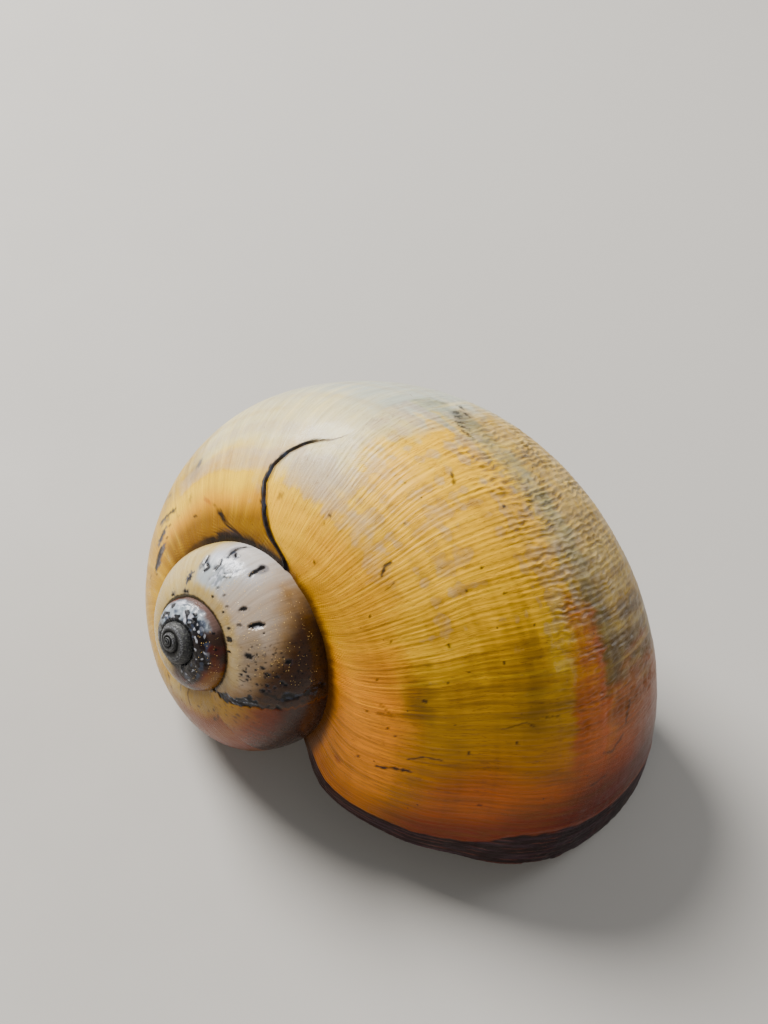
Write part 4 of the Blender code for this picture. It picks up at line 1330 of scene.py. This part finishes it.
class SnailColours(PropertyGroup):
    """Colours of the snail, as a painter would name them"""

    amber: tint("Amber", "Brightest yellow of the last whorl", 222, 166, 16)
    deep_orange: tint("Deep orange", "Orange brown along the suture near the mouth", 222, 134, 8)
    beige: tint("Beige", "Pale wrinkled far side of the last whorl", 170, 142, 88)
    bone: tint("Bone", "Pale ground of the second whorl", 168, 150, 108)
    blue_grey: tint("Blue grey", "Worn bluish patch of the second whorl", 138, 148, 156)
    # Taupe also paints the first step of the shade on the second whorl.
    taupe: tint("Taupe", "Brownish grey of the second whorl", 128, 104, 76)
    straw: tint("Straw", "Pale yellow of the older part of the last whorl", 208, 168, 54)
    cream: tint("Cream", "Thin clean shell near the old lip", 188, 178, 140)
    pale_grey: tint("Pale grey", "Worn greyish white on top of the shell", 156, 160, 148)
    tan: tint("Tan", "Dull tan on the older part of the last whorl", 150, 116, 56)
    mustard: tint("Mustard", "Main colour of the last whorl", 210, 156, 20)
    golden: tint("Golden", "Golden yellow next to the suture", 196, 136, 4)
    # Deep gold also paints the shoulder's gold in shade next to the suture.
    deep_gold: tint("Deep gold", "Saturated gold of the shaded shoulder", 104, 70, 10)
    olive: tint("Olive", "Olive yellow before the last growth", 162, 116, 16)
    # Dark olive also paints shade in the troughs of the wrinkles.
    dark_olive: tint("Dark olive", "Dark olive smudges", 70, 50, 18)
    olive_grey: tint("Olive grey", "Dull greenish grey of the shell's far side", 108, 90, 64)
    sage: tint("Sage", "Greenish spiral band", 120, 124, 94)
    ochre: tint("Ochre", "Warm lines of growth", 150, 100, 34)
    ochre_brown: tint("Ochre brown", "Brown of the youngest shell", 164, 78, 3)
    orange_brown: tint("Orange brown", "Glowing brown low on the spire side", 116, 60, 16)
    rust: tint("Rust", "Red brown next to the lip", 106, 36, 4)
    red_brown: tint("Red brown", "Red brown streaks and smudges", 130, 67, 42)
    brick: tint("Brick", "Red flush on the shell's right side", 156, 64, 24)
    plum: tint("Plum", "Purple brown above the lip", 84, 42, 38)
    grey_plum: tint("Grey plum", "Greyish purple of the far side near the lip", 92, 76, 72)
    # Plum black also paints shade on the low sides of the second whorl and of the last whorl's start.
    plum_black: tint("Plum black", "Dark whorl of the spire", 50, 36, 30)
    # Umber also paints shade: on the second whorl's side turned from the light, along its edge by the last whorl, and
    # in the sutures.
    umber: tint("Umber", "Brown of the younger part of the second whorl", 66, 44, 28)
    blush: tint("Blush", "Pinkish beige of the second whorl", 152, 138, 124)
    parchment: tint("Parchment", "Beige along the second whorl's suture", 148, 128, 86)
    # Chalk also paints a highlight streak on the last whorl.
    chalk_and_highlight: tint("Chalk", "Chalky bare patches", 232, 206, 134)
    # Worn white also paints a highlight on the second whorl, and glints on the wound and on the dark whorl's scabs.
    worn_white_and_highlight: tint("Worn white", "Worn patches of the dark whorl", 170, 172, 180)
    apex_grey: tint("Apex grey", "Eroded grey of the oldest whorls", 46, 46, 48)
    lavender: tint("Lavender", "Bluish grey shell that shows through", 160, 142, 126)
    # Slate also paints glints of light on the black scar, crust and scabs.
    slate: tint("Slate", "Blue grey marks", 50, 56, 70)
    # Black also paints the shade in the sutures between the whorls.
    black_mark_and_shade: tint("Black mark", "Pits, specks and healed breaks", 7, 6, 7)
    # This colour paints highlights along the ridge and the layers' edges before the lip.
    lip_ridge_highlight: tint("Lip ridge", "Pale ridge before the lip", 112, 70, 60)
    lip_dark: tint("Lip", "Nearly black coat along the lip", 22, 10, 12)
    lip_grey: tint("Lip grey", "Grey sheen in the lip's coat", 62, 44, 52)
    callus: tint("Callus", "Porcelain of the inner lip", 188, 158, 122)
    mouth_inside: tint("Mouth inside", "Brown lining of the mouth", 96, 66, 56)
    horn_dark: tint("Horn, dark", "Dark rings of the operculum", 46, 22, 12)
    horn_light: tint("Horn, light", "Light rings of the operculum", 104, 62, 34)
    flesh_dark: tint("Flesh, dark", "Dark speckle of the foot", 52, 46, 42)
    flesh_light: tint("Flesh, light", "Light ground of the foot", 112, 98, 82)


class SnailSizes(PropertyGroup):
    """Sizes that shape the snail's smaller forms"""

    operculum_dish: FloatProperty(
        name="Operculum dish", description="How far the middle of the operculum lies below its edge",
        default=0.0006, min=0, max=0.003, unit="LENGTH",
    )
    nucleus_across: FloatProperty(
        name="Nucleus across", description="Place of the operculum's oldest point across the mouth",
        default=0.016, unit="LENGTH",
    )
    nucleus_up: FloatProperty(
        name="Nucleus up", description="Place of the operculum's oldest point along the mouth",
        default=0.040, unit="LENGTH",
    )


class SnailStage(PropertyGroup):
    """Floor and light"""

    floor: tint("Floor", "Colour of the floor", 158, 155, 150)
    key_power: FloatProperty(name="Key power", description="Power of the main soft light", default=17.0, min=0, unit="POWER")
    front_power: FloatProperty(name="Front power", description="Power of the soft light from the viewer's side", default=1.1, min=0, unit="POWER")
    side_power: FloatProperty(name="Side power", description="Power of the weak light from the right", default=2.4, min=0, unit="POWER")
    sky: FloatProperty(name="Sky", description="Strength of the even light from all round", default=0.30, min=0)


class SnailGrains(PropertyGroup):
    """Silt strewn over the older whorls"""

    size: FloatProperty(name="Grain size", description="Half the breadth of a grain", default=0.00006, min=0, unit="LENGTH")
    density: FloatProperty(name="Density", description="Grains on a square metre", default=1400000, min=0)
    seed: IntProperty(name="Seed", description="Chooses where the grains lie", default=7, min=0)


class Tones:
    """The colours as Blender's shaders take them."""

    def __init__(self, colours):
        for name in SnailColours.__annotations__:
            value = np.array(getattr(colours, name))
            linear = np.where(value <= 0.04045, value / 12.92, ((value + 0.055) / 1.055) ** 2.4)
            setattr(self, name, tuple(float(channel) for channel in linear))


# ---- operators ----


class SNAIL_OT_apex(Operator):
    """Make the eroded oldest whorls"""

    bl_idname = "snail.apex"
    bl_label = "Apex"

    def execute(self, context):
        piece = make_apex_piece(Tones(context.scene.snail_colours))
        finish_piece(piece, shell_material("worn_apex", 0.55, 0.05, 0.9, 0.12), "worn_apex", "apex")
        return {"FINISHED"}


class SNAIL_OT_spire(Operator):
    """Make the dark whorl of the spire"""

    bl_idname = "snail.spire"
    bl_label = "Spire"

    def execute(self, context):
        piece = make_spire_piece(Tones(context.scene.snail_colours))
        finish_piece(piece, shell_material("dark_shell", 0.28, 0.2, 0.5, 0.10), "dark_shell", "spire_whorl")
        return {"FINISHED"}


class SNAIL_OT_penultimate(Operator):
    """Make the whorl before the last"""

    bl_idname = "snail.penultimate"
    bl_label = "Penultimate whorl"

    def execute(self, context):
        piece = make_penultimate_piece(Tones(context.scene.snail_colours))
        finish_piece(piece, shell_material("beige_shell", 0.26, 0.22, 0.25, 0.08), "beige_shell", "penultimate_whorl")
        return {"FINISHED"}


class SNAIL_OT_older(Operator):
    """Make the last whorl up to its old broken lip"""

    bl_idname = "snail.older"
    bl_label = "Last whorl, older part"

    def execute(self, context):
        piece = make_older_piece(Tones(context.scene.snail_colours))
        finish_piece(piece, shell_material("yellow_shell", 0.33, 0.1, 0.5, 0.14, 0.25), "yellow_shell", "body_whorl_older")
        return {"FINISHED"}


class SNAIL_OT_body(Operator):
    """Make the last whorl from the old lip to the mouth"""

    bl_idname = "snail.body"
    bl_label = "Last whorl, newer part"

    def execute(self, context):
        piece = make_body_piece(Tones(context.scene.snail_colours))
        finish_piece(piece, shell_material("ochre_shell", 0.34, 0.05, 0.8, 0.16, 0.5), "ochre_shell", "body_whorl")
        return {"FINISHED"}


class SNAIL_OT_lips(Operator):
    """Make the outer and the inner lip"""

    bl_idname = "snail.lips"
    bl_label = "Lips"

    def execute(self, context):
        tone = Tones(context.scene.snail_colours)
        outer, _ = make_lip("outer_lip_rim", spread(-122, 50, -40, 150, 107), tone, 0.85, 0)
        finish_piece(outer, shell_material("lip_edge", 0.42, 0.03, 0.6, 0.16), "lip_edge", "outer_lip")
        inner, _ = make_lip("inner_lip_roll", spread(-222, 80, -121), tone, 1.6, 0.35)
        finish_piece(inner, shell_material("callus", 0.24, 0.4, 0.2, 0.04), "callus", "inner_lip")
        return {"FINISHED"}


class SNAIL_OT_grains(Operator):
    """Strew grains of silt over the older whorls"""

    bl_idname = "snail.grains"
    bl_label = "Silt Grains"

    def execute(self, context):
        material = plain_material("silt", (0.55, 0.32, 0.08), (0.82, 0.56, 0.20), 0.35, 0.2, 3000, 0.1, 0.00002)
        piece = make_grains_piece(context.scene.snail_grains, material)
        finish_piece(piece, material, "beige_shell")
        return {"FINISHED"}


class SNAIL_OT_operculum(Operator):
    """Make the horny lid"""

    bl_idname = "snail.operculum"
    bl_label = "Operculum"

    def execute(self, context):
        tone = Tones(context.scene.snail_colours)
        piece = make_operculum_piece(context.scene.snail_sizes)
        material = plain_material("horn", tone.horn_dark, tone.horn_light, 0.45, 0.1, 220, 0.4, 0.0001)
        finish_piece(piece, material, "horn", "operculum")
        return {"FINISHED"}


class SNAIL_OT_foot(Operator):
    """Make the foot behind the lid"""

    bl_idname = "snail.foot"
    bl_label = "Foot"

    def execute(self, context):
        tone = Tones(context.scene.snail_colours)
        piece = make_foot_piece(context.scene.snail_sizes)
        material = plain_material("flesh", tone.flesh_dark, tone.flesh_light, 0.4, 0.5, 700, 0.6, 0.0002)
        finish_piece(piece, material, "flesh", "foot")
        return {"FINISHED"}


def area_light(name, at, look_at, size, power, colour):
    data = bpy.data.lights.new(name, "AREA")
    data.shape = "DISK"
    data.size = size
    data.energy = power
    data.color = colour
    lamp = bpy.data.objects.new(name, data)
    lamp.location = at
    lamp.rotation_euler = (Vector(look_at) - Vector(at)).to_track_quat("-Z", "Y").to_euler()
    bpy.context.scene.collection.objects.link(lamp)
    return lamp


class SNAIL_OT_stage(Operator):
    """Make the floor, the lights and the camera"""

    bl_idname = "snail.stage"
    bl_label = "Stage"

    def execute(self, context):
        stage = context.scene.snail_stage
        mesh = bmesh.new()
        bmesh.ops.create_grid(mesh, x_segments=2, y_segments=2, size=3.0)
        data = bpy.data.meshes.new("floor")
        mesh.to_mesh(data)
        mesh.free()
        floor = bpy.data.objects.new("floor", data)
        context.scene.collection.objects.link(floor)
        ground = tuple(((c + 0.055) / 1.055) ** 2.4 for c in stage.floor)
        data.materials.append(plain_material("floor", [c * 0.97 for c in ground], ground, 0.8, 0.0, 6, 0.05, 0.001))

        area_light("key", (-0.43, 0.29, 0.50), (0, 0, 0.02), 0.34, stage.key_power, (1.0, 0.975, 0.94))
        area_light("side", (0.50, 0.38, 0.30), (0, 0, 0.02), 0.4, stage.side_power, (0.95, 0.97, 1.0))
        front = area_light("front", (-0.08, -0.50, 0.30), (0, 0, 0.02), 0.5, stage.front_power, (1.0, 0.93, 0.84))
        front.visible_glossy = False
        world = bpy.data.worlds.new("studio")
        world.use_nodes = True
        sky = world.node_tree.nodes["Background"]
        sky.inputs["Color"].default_value = (0.93, 0.96, 1.0, 1)
        sky.inputs["Strength"].default_value = stage.sky
        context.scene.world = world

        lens = bpy.data.cameras.new("camera")
        lens.sensor_fit = "VERTICAL"
        lens.sensor_height = 36
        lens.lens = 56.25
        lens.clip_start, lens.clip_end = 0.01, 10
        camera = bpy.data.objects.new("camera", lens)
        camera.location = (-0.005937, -0.134853, 0.205945)
        camera.rotation_euler = Euler([math.radians(turn) for turn in (39.1116, -6.2055, 7.5780)], "XYZ")
        context.scene.collection.objects.link(camera)
        context.scene.camera = camera
        return {"FINISHED"}


class SNAIL_PT_panel(Panel):
    """Lists the pieces of the snail"""

    bl_label = "Apple Snail"
    bl_idname = "SNAIL_PT_panel"
    bl_space_type = "VIEW_3D"
    bl_region_type = "UI"
    bl_category = "Apple Snail"

    def draw(self, context):
        for operator in OPERATORS:
            self.layout.operator(operator.bl_idname)
        scene = context.scene
        for group in (scene.snail_sizes, scene.snail_grains, scene.snail_colours, scene.snail_stage):
            box = self.layout.box()
            for name in type(group).__annotations__:
                box.prop(group, name)


OPERATORS = (
    SNAIL_OT_apex, SNAIL_OT_spire, SNAIL_OT_penultimate, SNAIL_OT_older, SNAIL_OT_body,
    SNAIL_OT_lips, SNAIL_OT_grains, SNAIL_OT_operculum, SNAIL_OT_foot, SNAIL_OT_stage,
)
CLASSES = (SnailColours, SnailSizes, SnailGrains, SnailStage, *OPERATORS, SNAIL_PT_panel)


def register():
    for cls in CLASSES:
        bpy.utils.register_class(cls)
    bpy.types.Scene.snail_colours = PointerProperty(type=SnailColours)
    bpy.types.Scene.snail_sizes = PointerProperty(type=SnailSizes)
    bpy.types.Scene.snail_grains = PointerProperty(type=SnailGrains)
    bpy.types.Scene.snail_stage = PointerProperty(type=SnailStage)


def unregister():
    del bpy.types.Scene.snail_stage
    del bpy.types.Scene.snail_grains
    del bpy.types.Scene.snail_sizes
    del bpy.types.Scene.snail_colours
    for cls in reversed(CLASSES):
        bpy.utils.unregister_class(cls)


def main():
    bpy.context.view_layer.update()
    register()
    bpy.ops.snail.apex()
    bpy.ops.snail.spire()
    bpy.ops.snail.penultimate()
    bpy.ops.snail.older()
    bpy.ops.snail.body()
    bpy.ops.snail.lips()
    bpy.ops.snail.grains()
    bpy.ops.snail.operculum()
    bpy.ops.snail.foot()
    bpy.ops.snail.stage()


if __name__ == "__main__":
    main()
